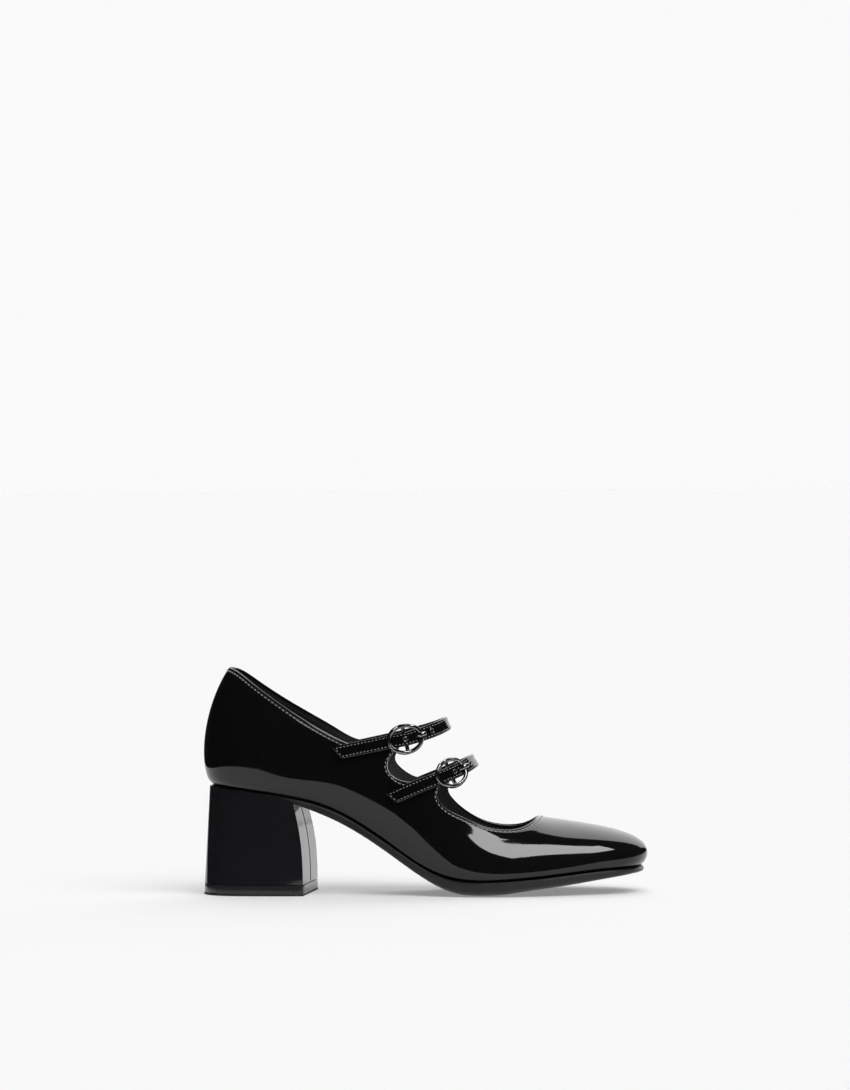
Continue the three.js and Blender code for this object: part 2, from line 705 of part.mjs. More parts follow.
function outsole() {
  const top = featherHeight;
  const bevel = (x) => Math.min(0.8, soleThickness(x) * 0.3);
  const crowned = (share) => (x) => bottomHeight(x) + soleCrown(x) * share;
  return skin([
    spineRing(top),
    edgeRing(9, top, true),
    edgeRing(0.8, top, true),
    edgeRing(0, (x) => top(x) - bevel(x), true),
    edgeRing(0, (x) => crowned(1)(x) + bevel(x), true),
    edgeRing(0.7, crowned(1), true),
    edgeRing(4.5, crowned(0.4), true),
    edgeRing(10, crowned(0), true),
    spineRing(bottomHeight),
  ]);
}

function insole() {
  const low = (x) => featherHeight(x) + GAP;
  const seat = (x) => featherHeight(x) + FEATHER_GAP + MARGIN_THICKNESS + GAP;
  const top = (x) => seat(x) + INSOLE_THICKNESS - GAP;
  const edge = WALL + 0.5;
  return skin([
    spineRing(low),
    edgeRing(MARGIN_WIDTH + 0.5, low),
    edgeRing(MARGIN_WIDTH + 0.5, seat),
    edgeRing(edge, seat),
    edgeRing(edge, (x) => top(x) - 0.5),
    edgeRing(edge + 0.6, top),
    spineRing(top),
  ]);
}

// Where the feather line reaches an x, on the outer side or, with a negative sign, the inner side.
function featherAt(x, sign) {
  let low = 0;
  let high = GIRTH / 2;
  for (let turn = 0; turn < 40; turn++) {
    const middle = (low + high) / 2;
    if (featherLine(sign * middle).x < x) low = middle;
    else high = middle;
  }
  return sign * low;
}

// A closed outline from the outer breast corner round the back to the inner one and along the breast.
function heelOutline(corner) {
  const ring = Array.from({ length: HEEL_COLUMNS + 1 }, (_, k) => corner(k / HEEL_COLUMNS));
  const outer = ring[0];
  const inner = ring[HEEL_COLUMNS];
  for (let k = 1; k < BREAST_COLUMNS; k++) ring.push(inner.clone().lerp(outer, k / BREAST_COLUMNS));
  return ring;
}

const basePoints = HEEL_BASE.map((row) => new THREE.Vector3(row.x * GRADE_X, row.y * GRADE_Y, 0));
const baseKnots = chordKnots(basePoints);
const baseLine = pointSpline(baseKnots, basePoints);
const heelBase = heelOutline((share) => baseLine(share * baseKnots.at(-1)));

const seatOut = featherAt(BREAST_TOP_OUT * GRADE_X, 1);
const seatIn = featherAt(BREAST_TOP_IN * GRADE_X, -1);
const heelSeat = heelOutline((share) => {
  const u = THREE.MathUtils.lerp(seatOut, seatIn, share);
  return featherLine(u).addScaledVector(flatOutward(featherLine, u), -0.1);
});

// The middle line that closes a heel face, met by the outer and the inner side alike.
function heelSpine(ring, raise) {
  const front = ring[0].clone().lerp(ring[HEEL_COLUMNS], 0.5);
  const back = ring[HEEL_COLUMNS / 2];
  return ring.map((_, k) => {
    const share = k > HEEL_COLUMNS ? 0 : Math.min(k, HEEL_COLUMNS - k) / (HEEL_COLUMNS / 2);
    const point = front.clone().lerp(back, 0.22 + 0.42 * share);
    return point.setZ(raise(point.x));
  });
}

function heelBlock() {
  const bottom = TOP_PIECE_HEIGHT + GAP / 2;
  const seatUnder = (x) => bottomHeight(x) - GAP * 1.3;
  const front = heelBase[0].x;
  const level = (share) => heelBase.map((base, k) => {
    const seat = heelSeat[k];
    const breast = (base.x / front) ** 3;
    const pull = THREE.MathUtils.lerp(share, share ** 2.6, Math.min(1, breast));
    const point = base.clone().lerp(seat, pull);
    return point.setZ(THREE.MathUtils.lerp(bottom, seatUnder(seat.x), share));
  });
  const levels = Array.from({ length: HEEL_LEVELS + 1 }, (_, i) => level(i / HEEL_LEVELS));
  const top = levels.at(-1);
  return skin([
    heelSpine(levels[0], () => bottom),
    ...levels,
    heelSpine(top, (x) => seatUnder(x) - GAP),
  ]);
}

function topPiece() {
  const height = TOP_PIECE_HEIGHT - GAP / 2;
  const bevel = 0.5;
  const centre = new THREE.Vector3(28 * GRADE_X, -1.8 * GRADE_Y, 0);
  const at = (z, inset) => heelBase.map((base) => {
    const inward = centre.clone().sub(base).setLength(inset);
    return base.clone().add(inward).setZ(z);
  });
  return skin([
    heelSpine(heelBase, () => 0),
    at(0, bevel),
    at(bevel, 0),
    at(height, 0),
    heelSpine(heelBase, () => height),
  ]);
}

// ---- straps and buckles ----

// A strap's own coordinates: along its middle line, across its width and out from the foot.
function strapCourse(rows) {
  const guesses = rows.map((row) => (row.sewn
    ? nearestOnLast(new THREE.Vector3(row.x * GRADE_X, row.y * GRADE_Y, row.z * GRADE_Z),
      firstGuess(new THREE.Vector3(row.x * GRADE_X, row.y * GRADE_Y, row.z * GRADE_Z)))
    : null));
  const points = rows.map((row, i) => {
    if (!row.sewn) return new THREE.Vector3(row.x * GRADE_X, row.y * GRADE_Y, row.z * GRADE_Z);
    const { u, v } = guesses[i];
    return lastPoint(u, v).addScaledVector(lastFrame(u, v).outward, SEWN_LIFT + STRAP_THICKNESS / 2);
  });
  const chord = chordKnots(points);
  const line = pointSpline(chord, points);
  const heading = (s) => line(s + 0.05).sub(line(s - 0.05)).normalize();
  const normals = rows.map((row, i) => {
    if (row.sewn) return lastFrame(guesses[i].u, guesses[i].v).outward;
    const across = new THREE.Vector3(-row.back, 0, row.rise).normalize();
    return heading(chord[i]).cross(across).normalize();
  });
  const normalLine = pointSpline(chord, normals);
  const frame = (s) => {
    const along = heading(s);
    const outward = normalLine(s);
    outward.addScaledVector(along, -outward.dot(along)).normalize();
    const across = new THREE.Vector3().crossVectors(outward, along);
    return { along, outward, across };
  };
  const place = (s, w, n) => {
    const { outward, across } = frame(s);
    return line(s).addScaledVector(across, w).addScaledVector(outward, n);
  };
  return { length: chord.at(-1), line, frame, place };
}

// The place along the strap where its outer side passes an x.
function courseAt(course, x) {
  let s = 0;
  while (course.line(s).x < x) s += 0.1;
  return s;
}

// The strap rises over the buckle's bar and dips under the ring's front.
function strapWave(offset) {
  const reach = BUCKLE_LENGTH / 2 - WIRE_RADIUS;
  const hump = Math.abs(offset) < reach ? Math.cos(Math.PI / 2 * offset / reach) ** 2 : 0;
  const past = Math.abs(offset - reach) / reach;
  const dip = past < 1 ? Math.cos(Math.PI / 2 * past) ** 2 : 0;
  return STRAP_HUMP * hump - STRAP_DIP * dip;
}

// Stations along a strap, closer together in the buckle and over the instep.
function strapStations(course, buckleAt) {
  const bendStart = buckleAt - BUCKLE_LENGTH / 2;
  const bendEnd = course.length - bendStart;
  const stations = [0];
  while (stations.at(-1) < course.length - STRAP_STEP) {
    const s = stations.at(-1);
    stations.push(s + (s > bendStart && s < bendEnd ? STRAP_BEND_STEP : STRAP_STEP));
  }
  return [...stations, course.length];
}

function strap(course, buckleAt) {
  const half = STRAP_WIDTH / 2;
  const thick = STRAP_THICKNESS / 2;
  const edge = 0.35;
  const section = [
    [-half, -thick + edge], [-half + edge, -thick], [half - edge, -thick], [half, -thick + edge],
    [half, thick - edge], [half - edge, thick], [-half + edge, thick], [-half, thick - edge],
  ];
  const fade = 14;
  const rings = strapStations(course, buckleAt).map((s) => {
    const start = Math.max(0, 1 - s / fade);
    const end = Math.max(0, 1 - (course.length - s) / fade);
    return section.map(([w, n]) => {
      const shifted = s - w * SLANT * start + w * SLANT * end;
      return course.place(shifted, w, n + strapWave(shifted - buckleAt));
    });
  });
  const body = solidOf(skin(rings, { capped: true }));
  const hole = new THREE.CylinderGeometry(HOLE_RADIUS, HOLE_RADIUS, 6, 16);
  const s = buckleAt + HOLE_AHEAD;
  const { along, outward, across } = course.frame(s);
  hole.applyMatrix4(new THREE.Matrix4().makeBasis(along, outward, across.negate()));
  hole.translate(...course.place(s, 0, 0));
  return geometryOf(body.subtract(solidOf(cleaned(hole))));
}

function cleaned(geometry) {
  geometry.deleteAttribute('normal');
  geometry.deleteAttribute('uv');
  return orient(mergeVertices(geometry, 1e-3));
}

// A bent rod through places given in strap coordinates, with the section turned to the strap.
function rodRings(centres, halfWidth, halfDepth, sides, closed) {
  const n = centres.length;
  return centres.map(({ point, outward }, i) => {
    const before = centres[closed ? (i + n - 1) % n : Math.max(0, i - 1)].point;
    const after = centres[closed ? (i + 1) % n : Math.min(n - 1, i + 1)].point;
    const heading = after.clone().sub(before).normalize();
    const side = new THREE.Vector3().crossVectors(heading, outward).normalize();
    const lift = new THREE.Vector3().crossVectors(side, heading).normalize();
    return Array.from({ length: sides }, (_, k) => {
      const angle = 2 * Math.PI * (k + 0.5) / sides;
      return point.clone().addScaledVector(side, halfWidth * Math.cos(angle))
        .addScaledVector(lift, halfDepth * Math.sin(angle));
    });
  });
}

function buckle(course, buckleAt) {
  const steps = 36;
  const reach = BUCKLE_LENGTH / 2 - WIRE_RADIUS;
  const spread = BUCKLE_WIDTH / 2 - WIRE_RADIUS;
  const spot = (ahead, w, n) => ({
    point: course.place(buckleAt + ahead, w, n),
    outward: course.frame(buckleAt + ahead).outward,
  });
  const ring = Array.from({ length: steps }, (_, i) => {
    const angle = 2 * Math.PI * i / steps;
    const ahead = reach * Math.cos(angle);
    const end = ahead > 0 ? RING_LIFT_AHEAD : RING_LIFT_BEHIND;
    const share = THREE.MathUtils.smoothstep(Math.abs(Math.cos(angle)), 0.2, 0.75);
    return spot(ahead, spread * Math.sin(angle), THREE.MathUtils.lerp(RING_LIFT_SIDE, end, share));
  });
  const bar = [-1, -0.5, 0, 0.5, 1].map((share) => spot(0, spread * share, BAR_LIFT + 0.5 * share * share));
  const hoop = solidOf(skin(rodRings(ring, WIRE_RADIUS, WIRE_RADIUS, 8, true), { joined: true }));
  const rod = solidOf(skin(rodRings(bar, BAR_RADIUS, BAR_RADIUS, 8, false), { capped: true }));
  return geometryOf(hoop.add(rod));
}

function prong(course, buckleAt) {
  const ends = PRONG_PATH.map(({ along, lift }) => new THREE.Vector3(along, lift, 0));
  const knotsAlong = chordKnots(ends);
  const bend = pointSpline(knotsAlong, ends);
  const steps = 11;
  const centres = Array.from({ length: steps + 1 }, (_, i) => {
    const { x, y } = bend(knotsAlong.at(-1) * i / steps);
    return {
      point: course.place(buckleAt + x, 0, y),
      outward: course.frame(buckleAt + x).outward,
    };
  });
  const corner = Math.cos(Math.PI / 8);
  const [across, through] = [PRONG_WIDTH / 2 / corner, PRONG_THICKNESS / 2 / corner];
  return skin(rodRings(centres, across, through, 8, false), { capped: true });
}

// ---- the shoe ----

const PATENT = { color: 0x0b0b0d, roughness: 0.08, metalness: 0 };
const LINING = { color: 0x141313, roughness: 0.5, metalness: 0 };
const SOLE_RUBBER = { color: 0x1d1b1b, roughness: 0.5, metalness: 0 };
const TOP_RUBBER = { color: 0x2a252a, roughness: 0.7, metalness: 0 };
const GUNMETAL = { color: 0x2c2c30, roughness: 0.2, metalness: 1 };

const shoe = new THREE.Group();

function piece(name, geometry, finish) {
  const mesh = new THREE.Mesh(geometry, new THREE.MeshStandardMaterial(finish));
  mesh.name = name;
  shoe.add(mesh);
}

piece('upper', upper(), PATENT);
piece('insole', insole(), LINING);
piece('outsole', outsole(), SOLE_RUBBER);
piece('heel', heelBlock(), PATENT);
piece('heel_top_piece', topPiece(), TOP_RUBBER);
for (const [name, rows, buckleX] of [['rear', STRAP_REAR, 111], ['front', STRAP_FRONT, 135]]) {
  const course = strapCourse(rows);
  const buckleAt = courseAt(course, buckleX * GRADE_X);
  piece(`strap_${name}`, strap(course, buckleAt), PATENT);
  piece(`buckle_${name}`, buckle(course, buckleAt), GUNMETAL);
  piece(`prong_${name}`, prong(course, buckleAt), GUNMETAL);
}

const bounds = new THREE.Box3().setFromObject(shoe);
const middle = bounds.getCenter(new THREE.Vector3());
shoe.position.set(-middle.x, -middle.y, -bounds.min.z);
shoe.updateMatrixWorld(true);

export default shoe;
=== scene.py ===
import math
from bisect import bisect

import bmesh
import bpy
from mathutils import Matrix, Vector
from mathutils.bvhtree import BVHTree


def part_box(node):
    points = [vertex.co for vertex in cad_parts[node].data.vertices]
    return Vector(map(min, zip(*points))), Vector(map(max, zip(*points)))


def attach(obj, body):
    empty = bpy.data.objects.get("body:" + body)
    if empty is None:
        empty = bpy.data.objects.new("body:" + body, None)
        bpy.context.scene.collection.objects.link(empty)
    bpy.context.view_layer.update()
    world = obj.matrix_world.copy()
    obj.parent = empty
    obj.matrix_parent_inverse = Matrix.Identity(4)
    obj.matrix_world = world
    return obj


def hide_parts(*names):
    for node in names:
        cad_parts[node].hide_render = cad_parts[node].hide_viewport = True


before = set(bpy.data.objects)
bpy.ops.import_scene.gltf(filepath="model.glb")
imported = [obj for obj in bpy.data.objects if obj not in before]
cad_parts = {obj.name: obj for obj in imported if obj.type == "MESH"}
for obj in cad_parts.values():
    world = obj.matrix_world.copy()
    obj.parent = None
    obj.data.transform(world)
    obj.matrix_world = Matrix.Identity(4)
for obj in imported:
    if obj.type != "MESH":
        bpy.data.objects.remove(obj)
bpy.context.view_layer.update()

# ---- Upper ----
# One shell of black patent leather over a thin black lining, lasted over the insole and cemented to
# the sole. Its top edge is folded over, so it is thicker and rounder than the wall below the seam.

SEAM_BELOW_EDGE = 0.0026
# The shell's rows run from the edge's crest down the outside, underneath and up the lining.
LINING_FROM, LINING_TO = 12, 19
FOOT_ROWS = (LINING_FROM - 1, LINING_FROM)
# How far each low row stands out over the sole, growing from the waist to the ball.
LASTED_BULGE = {LINING_FROM - 4: 0.0001, LINING_FROM - 3: 0.00035, LINING_FROM - 2: 0.00045}
BULGE_START, BULGE_FULL = 0.03, 0.07


def select_only(piece):
    bpy.ops.object.select_all(action="DESELECT")
    piece.select_set(True)
    bpy.context.view_layer.objects.active = piece


def working_copy(node, name):
    """A piece of its own on a CAD node's mesh, its loose triangles joined."""
    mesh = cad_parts[node].data.copy()
    mesh.name = name
    piece = bpy.data.objects.new(name, mesh)
    bpy.context.collection.objects.link(piece)
    mesh.materials.clear()
    select_only(piece)
    if mesh.has_custom_normals:
        bpy.ops.mesh.customdata_custom_splitnormals_clear()
    bpy.ops.object.mode_set(mode="EDIT")
    bpy.ops.mesh.select_all(action="SELECT")
    bpy.ops.mesh.remove_doubles(threshold=2e-6)
    bpy.ops.object.mode_set(mode="OBJECT")
    return piece


def finish_with(piece, kind, **settings):
    """Puts one modifier on a piece and applies it."""
    select_only(piece)
    modifier = piece.modifiers.new(kind.title(), kind)
    for key, value in settings.items():
        setattr(modifier, key, value)
    bpy.ops.object.modifier_apply(modifier=modifier.name)


def squares_from_triangles(mesh):
    """Every square of the shell is two triangles: the cut that runs the same way in all of them goes."""
    shell = bmesh.new()
    shell.from_mesh(mesh)
    shell.faces.ensure_lookup_table()
    family = {}
    first = shell.faces[0]
    for turn, loop in enumerate(first.loops):
        family[loop.edge] = turn
    waiting, seen = [first], {first}
    while waiting:
        face = waiting.pop()
        for loop in face.loops:
            other = loop.link_loop_radial_next
            if other.face in seen:
                continue
            start = family[loop.edge]
            family[other.link_loop_next.edge] = (start + 1) % 3
            family[other.link_loop_prev.edge] = (start + 2) % 3
            seen.add(other.face)
            waiting.append(other.face)
    length = [sum(e.calc_length() for e in shell.edges if family[e] == k) for k in range(3)]
    cut = length.index(max(length))
    bmesh.ops.dissolve_edges(shell, edges=[e for e in shell.edges if family[e] == cut])
    shell.to_mesh(mesh)
    shell.free()


def walk_ring(vertex, edge):
    """The closed row of vertices that runs straight on through the squares from one edge."""
    ring = [vertex]
    while True:
        vertex = edge.other_vert(vertex)
        if vertex is ring[0]:
            return ring
        ring.append(vertex)
        beside = {e for face in edge.link_faces for e in face.edges}
        edge = next(e for e in vertex.link_edges if e not in beside)


def shell_rows(shell):
    """The shell's closed rows, from the edge's crest down the outside, underneath and up the lining."""
    start = max(shell.verts, key=lambda v: v.co.z)
    around = max((walk_ring(start, e) for e in start.link_edges), key=len)
    up = min((walk_ring(start, e) for e in start.link_edges), key=len)
    rows = [around]
    for step in range(1, len(up)):
        last, before = rows[-1], rows[-2] if step > 1 else None
        known = set(last) | (set(before) if before else set())
        row = []
        for i, vertex in enumerate(last):
            beside = [e.other_vert(vertex) for e in vertex.link_edges]
            free = [v for v in beside if v not in known]
            if step == 1 and i == 0:
                free = [up[1]]
            elif step == 1:
                free = [v for v in free if any(e.other_vert(v) is row[-1] for e in v.link_edges)]
            row.append(free[0])
        rows.append(row)
    height = [sum(v.co.z for v in row) for row in rows]
    top = height.index(max(height))
    rows = rows[top:] + rows[:top]
    one_way, other_way = (max(v.co.y for v in row) - min(v.co.y for v in row) for row in (rows[3], rows[-3]))
    return rows if one_way > other_way else [rows[0]] + rows[:0:-1]


upper = working_copy("upper", "patent_upper")
squares_from_triangles(upper.data)
shell = bmesh.new()
shell.from_mesh(upper.data)
rows = shell_rows(shell)
count = len(rows[0])

# The map called wall has the length along the edge in u, and in v the depth below the edge, which is
# positive outside and negative on the lining. Column i runs down through every row j.
wall_map = shell.loops.layers.uv.new("wall")
row_of = {v: j for j, row in enumerate(rows) for v in row}
column_of = {v: i for row in rows for i, v in enumerate(row)}
along = [0.0]
for i in range(count):
    along.append(along[-1] + (rows[0][(i + 1) % count].co - rows[0][i].co).length)
down = []
for i in range(count):
    outside = [0.0]
    for j in range(1, LINING_FROM):
        outside.append(outside[-1] + (rows[j][i].co - rows[j - 1][i].co).length)
    inside = [0.0]
    for j in range(len(rows) - 1, LINING_FROM - 1, -1):
        inside.append(inside[-1] - (rows[j][i].co - rows[(j + 1) % len(rows)][i].co).length)
    down.append(outside + inside[:0:-1])
for face in shell.faces:
    face.smooth = True
    js = {row_of[v] for v in face.verts}
    inner = all(j == 0 or j >= LINING_FROM for j in js)
    lined = all(LINING_FROM - 1 <= j <= LINING_TO for j in js)
    face.material_index = 1 if lined else 0
    wraps = {0, count - 1} <= {column_of[v] for v in face.verts}
    for loop in face.loops:
        i, j = column_of[loop.vert], row_of[loop.vert]
        u = along[count] if wraps and i == 0 else along[i]
        v = down[i][j] if inner or j < LINING_FROM else down[i][LINING_FROM - 1]
        loop[wall_map].uv = (u, v)
edge_line = [[rows[j][i].co.copy() for j in range(LINING_FROM)] for i in range(count)]
inner_line = [[rows[-j % len(rows)][i].co.copy() for j in range(6)] for i in range(count)]
row_at = [row_of[v] for v in shell.verts]
shell.to_mesh(upper.data)
shell.free()


def smooth_upper():
    """Smooths the shell, its corners first moved out by as much as the smoothing draws them in."""
    trial = upper.copy()
    trial.data = upper.data.copy()
    bpy.context.collection.objects.link(trial)
    finish_with(trial, "SUBSURF", levels=2, render_levels=2)
    for row, corner, drawn_in in zip(row_at, upper.data.vertices, trial.data.vertices):
        shift = corner.co - drawn_in.co
        if row in FOOT_ROWS:
            shift.x = shift.y = 0
        forward = min(max((corner.co.x - BULGE_START) / (BULGE_FULL - BULGE_START), 0), 1)
        outward = Vector((corner.normal.x, corner.normal.y, 0)).normalized()
        corner.co += shift + outward * LASTED_BULGE.get(row, 0) * forward
    bpy.data.objects.remove(trial)
    finish_with(upper, "SUBSURF", levels=2, render_levels=2)


smooth_upper()


def node_of(material, kind, **inputs):
    node = material.node_tree.nodes.new(kind)
    for name, value in inputs.items():
        node.inputs[name.replace("_", " ")].default_value = value
    return node


def wire(material, source, target):
    material.node_tree.links.new(source, target)


def new_finish(name, **sockets):
    """A plain material, with its shader's values given by name."""
    material = bpy.data.materials.new(name)
    material.use_nodes = True
    shader = material.node_tree.nodes["Principled BSDF"]
    for key, value in sockets.items():
        shader.inputs[key.replace("_", " ")].default_value = value
    return material, shader


def stack_bump(material, shader, height, distance, strength=1.0):
    """Adds one relief to a finish: height, in units of distance, on top of any relief already there."""
    bump = node_of(material, "ShaderNodeBump", Strength=strength, Distance=distance)
    wire(material, height, bump.inputs["Height"])
    if shader.inputs["Normal"].is_linked:
        wire(material, shader.inputs["Normal"].links[0].from_socket, bump.inputs["Normal"])
    wire(material, bump.outputs["Normal"], shader.inputs["Normal"])


def patent_finish(name, black=(0.0046, 0.004, 0.0043, 1)):
    """Lacquered black leather: a mirror coat over a faint, slow unevenness and a few cloudy smears."""
    material, shader = new_finish(name, Base_Color=black, Roughness=0.045, IOR=1.5)
    where = node_of(material, "ShaderNodeTexCoord").outputs["Object"]
    sway = node_of(material, "ShaderNodeTexNoise", Scale=38.0, Detail=1.5)
    wire(material, where, sway.inputs["Vector"])
    stack_bump(material, shader, sway.outputs["Fac"], 0.0005, 0.28)
    peel = node_of(material, "ShaderNodeTexNoise", Scale=900.0, Detail=2.0)
    wire(material, where, peel.inputs["Vector"])
    stack_bump(material, shader, peel.outputs["Fac"], 0.00001, 0.35)
    smear = node_of(material, "ShaderNodeTexNoise", Scale=55.0, Detail=5.0, Roughness=0.6)
    wire(material, where, smear.inputs["Vector"])
    gloss = node_of(material, "ShaderNodeMapRange", From_Min=0.45, From_Max=0.75, To_Min=0.035, To_Max=0.09)
    wire(material, smear.outputs["Fac"], gloss.inputs["Value"])
    wire(material, gloss.outputs["Result"], shader.inputs["Roughness"])
    return material, shader


def profile(material, distance, points):
    """A relief read off a curve: points are (distance, height), both from 0 to 1."""
    curve = node_of(material, "ShaderNodeFloatCurve")
    line = curve.mapping.curves[0]
    line.points[0].location = points[0]
    line.points[1].location = points[-1]
    for point in points[1:-1]:
        line.points.new(*point)
    curve.mapping.update()
    wire(material, distance, curve.inputs["Value"])
    return curve.outputs["Value"]


# The folded edge is a soft bead, pulled in along the seam. The relief is read from the wall map's v.
FOLD_REACH, FOLD_RELIEF = 0.008, 0.0011
patent_wall, wall_shader = patent_finish("patent_wall")
wall_uv = node_of(patent_wall, "ShaderNodeUVMap")
wall_uv.uv_map = "wall"
split = node_of(patent_wall, "ShaderNodeSeparateXYZ")
wire(patent_wall, wall_uv.outputs["UV"], split.inputs["Vector"])
near_edge = node_of(patent_wall, "ShaderNodeMapRange", From_Min=0.0, From_Max=FOLD_REACH)
wire(patent_wall, split.outputs["Y"], near_edge.inputs["Value"])
seam = SEAM_BELOW_EDGE / FOLD_REACH
fold = profile(patent_wall, near_edge.outputs["Result"], [
    (0, 0.1), (seam * 0.25, 0.42), (seam * 0.52, 0.72), (seam * 0.78, 0.74), (seam, 0.42),
    (seam * 1.15, 0.56), (seam * 1.4, 0.68), (seam * 1.8, 0.76), (seam * 2.4, 0.78), (1, 0.76),
])
stack_bump(patent_wall, wall_shader, fold, FOLD_RELIEF)


def cloudy_colour(material, shader, cloud, dark, light):
    """Lets a noise drive the base colour between two tones."""
    tone = node_of(material, "ShaderNodeMix")
    tone.data_type = "RGBA"
    tone.inputs[6].default_value = dark
    tone.inputs[7].default_value = light
    wire(material, cloud, tone.inputs[0])
    wire(material, tone.outputs[2], shader.inputs["Base Color"])


def leather_lining(name, colour):
    """Thin unlacquered leather with a fine grain and faint rubbing."""
    material, shader = new_finish(name, Base_Color=colour, Roughness=0.42, IOR=1.45)
    where = node_of(material, "ShaderNodeTexCoord").outputs["Object"]
    grain = node_of(material, "ShaderNodeTexVoronoi", Scale=1600.0)
    wire(material, where, grain.inputs["Vector"])
    stack_bump(material, shader, grain.outputs["Distance"], 0.00006, 0.5)
    rub = node_of(material, "ShaderNodeTexNoise", Scale=70.0, Detail=4.0)
    wire(material, where, rub.inputs["Vector"])
    cloudy_colour(material, shader, rub.outputs["Fac"], colour, tuple(c * 1.7 for c in colour[:3]) + (1,))
    return material


lining = leather_lining("lining_leather", (0.012, 0.0098, 0.0104, 1))
upper.data.materials.append(patent_wall)
upper.data.materials.append(lining)
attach(upper, "root")
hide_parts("upper")

# ---- Stitching of the upper ----
# One row of black thread, coloured light grey as a painted sheen, close under the folded edge, right round
# the collar, the strap tabs and the throat, and a finer, darker row on the lining that holds the fold inside.
# Each stitch is one bead.

STITCH_PITCH, STITCH_LENGTH, STITCH_WIDTH = 0.0024, 0.0016, 0.00062
# A stitch's height and its lean from end to end, as shares of its width, and how deep it is pulled in.
STITCH_HEIGHT, STITCH_LEAN, THREAD_SUNK = 0.8, 0.12, 0.00005
# The row inside lies a little lower and is finer.
INNER_SEAM_BELOW_EDGE = SEAM_BELOW_EDGE * 1.25
FINER_PITCH, FINER_STITCH = 0.9, 0.8


def tree_of(piece):
    shape = bmesh.new()
    shape.from_mesh(piece.data)
    tree = BVHTree.FromBMesh(shape)
    shape.free()
    return tree


def down_the_wall(line, depth):
    """The place on a column of the wall that lies depth below its first point."""
    for a, b in zip(line, line[1:]):
        step = (b - a).length
        if step >= depth:
            return a.lerp(b, depth / step)
        depth -= step
    return line[-1]


def smooth_run(points, closed, step):
    """Places at even steps along a smooth curve through the points, each with its direction."""
    n = len(points)
    parts = 16
    dense = []
    for i in range(n if closed else n - 1):
        near = [i + k if closed else min(max(i + k, 0), n - 1) for k in (-1, 0, 1, 2)]
        a, b, c, d = (points[k % n] for k in near)
        for k in range(parts):
            t = k / parts
            dense.append(0.5 * ((2 * b) + (c - a) * t + (2 * a - 5 * b + 4 * c - d) * t * t
                                + (3 * b - a - 3 * c + d) * t ** 3))
    dense.append(points[0] if closed else points[-1])
    total = sum((b - a).length for a, b in zip(dense, dense[1:]))
    places = round(total / step)
    run, gone, k = [], 0.0, 0
    for i in range(places):
        want = total * (i + 0.5) / places
        while k < len(dense) - 2 and gone + (dense[k + 1] - dense[k]).length < want:
            gone += (dense[k + 1] - dense[k]).length
            k += 1
        span = dense[k + 1] - dense[k]
        run.append((dense[k].lerp(dense[k + 1], (want - gone) / span.length), span.normalized()))
    return run


bpy.ops.object.select_all(action="DESELECT")
bpy.ops.mesh.primitive_uv_sphere_add(segments=8, ring_count=6, radius=0.5, rotation=(0, math.pi / 2, 0))
one_stitch = bpy.context.active_object
bpy.ops.object.transform_apply(location=True, rotation=True, scale=True)
stitch_shape = [v.co.copy() for v in one_stitch.data.vertices]
stitch_faces = [tuple(p.vertices) for p in one_stitch.data.polygons]
bpy.data.objects.remove(one_stitch)


def twisted_thread(name, colour):
    """Waxed thread, with the twist of its plies as relief."""
    material, shader = new_finish(name, Base_Color=colour, Roughness=0.3, IOR=1.5)
    where = node_of(material, "ShaderNodeTexCoord").outputs["Object"]
    twist = node_of(material, "ShaderNodeTexWave", Scale=1400.0, Distortion=1.0)
    wire(material, where, twist.inputs["Vector"])
    stack_bump(material, shader, twist.outputs["Fac"], 0.00008, 0.6)
    return material


# The thread is black: its light grey colour is a painted sheen, standing for the glints of light on it.
painted_sheen_thread = twisted_thread("painted_sheen_thread", (0.36, 0.36, 0.37, 1))
lining_thread = twisted_thread("lining_thread", (0.05, 0.05, 0.052, 1))


def sew(name, run, tree, length=STITCH_LENGTH, width=STITCH_WIDTH, sunk=THREAD_SUNK, finish=painted_sheen_thread,
        slot="patent"):
    """A joined row of stitches that lie on the nearest surface along a run of (place, direction)."""
    vertices, faces = [], []
    for place, direction in run:
        surface, normal, _, _ = tree.find_nearest(place)
        ahead = (direction - normal * direction.dot(normal)).normalized()
        across = normal.cross(ahead)
        centre = surface + normal * (width * 0.25 - sunk)
        start = len(vertices)
        for corner in stitch_shape:
            lean = corner.x * STITCH_LEAN
            vertices.append(centre + ahead * corner.x * length + across * (corner.y * width + lean * width)
                            + normal * corner.z * width * STITCH_HEIGHT)
        faces += [tuple(start + k for k in face) for face in stitch_faces]
    mesh = bpy.data.meshes.new(name)
    mesh.from_pydata(vertices, [], faces)
    mesh.materials.append(finish)
    piece = bpy.data.objects.new(name, mesh)
    bpy.context.collection.objects.link(piece)
    select_only(piece)
    bpy.ops.object.shade_smooth()
    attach(piece, "root")


upper_tree = tree_of(upper)
seam_points = [down_the_wall(line, SEAM_BELOW_EDGE) for line in edge_line]
sew("edge_stitching", smooth_run(seam_points, True, STITCH_PITCH), upper_tree)
inner_points = [down_the_wall(line, INNER_SEAM_BELOW_EDGE) for line in inner_line]
sew("lining_stitching", smooth_run(inner_points, True, STITCH_PITCH * FINER_PITCH), upper_tree,
    length=STITCH_LENGTH * FINER_STITCH, width=STITCH_WIDTH * FINER_STITCH, finish=lining_thread,
    slot="lining")

# ---- Insole ----
# A board under a padded sock of thin black leather. The sock is glued to the board, and it shows
# through the open throat and between the straps.


def squares_between(bend):
    """Pairs up the triangles of the active piece, where they meet at less than the given bend."""
    bpy.ops.object.mode_set(mode="EDIT")
    bpy.ops.mesh.select_all(action="SELECT")
    bpy.ops.mesh.tris_convert_to_quads(face_threshold=bend, shape_threshold=math.pi)
    bpy.ops.object.mode_set(mode="OBJECT")


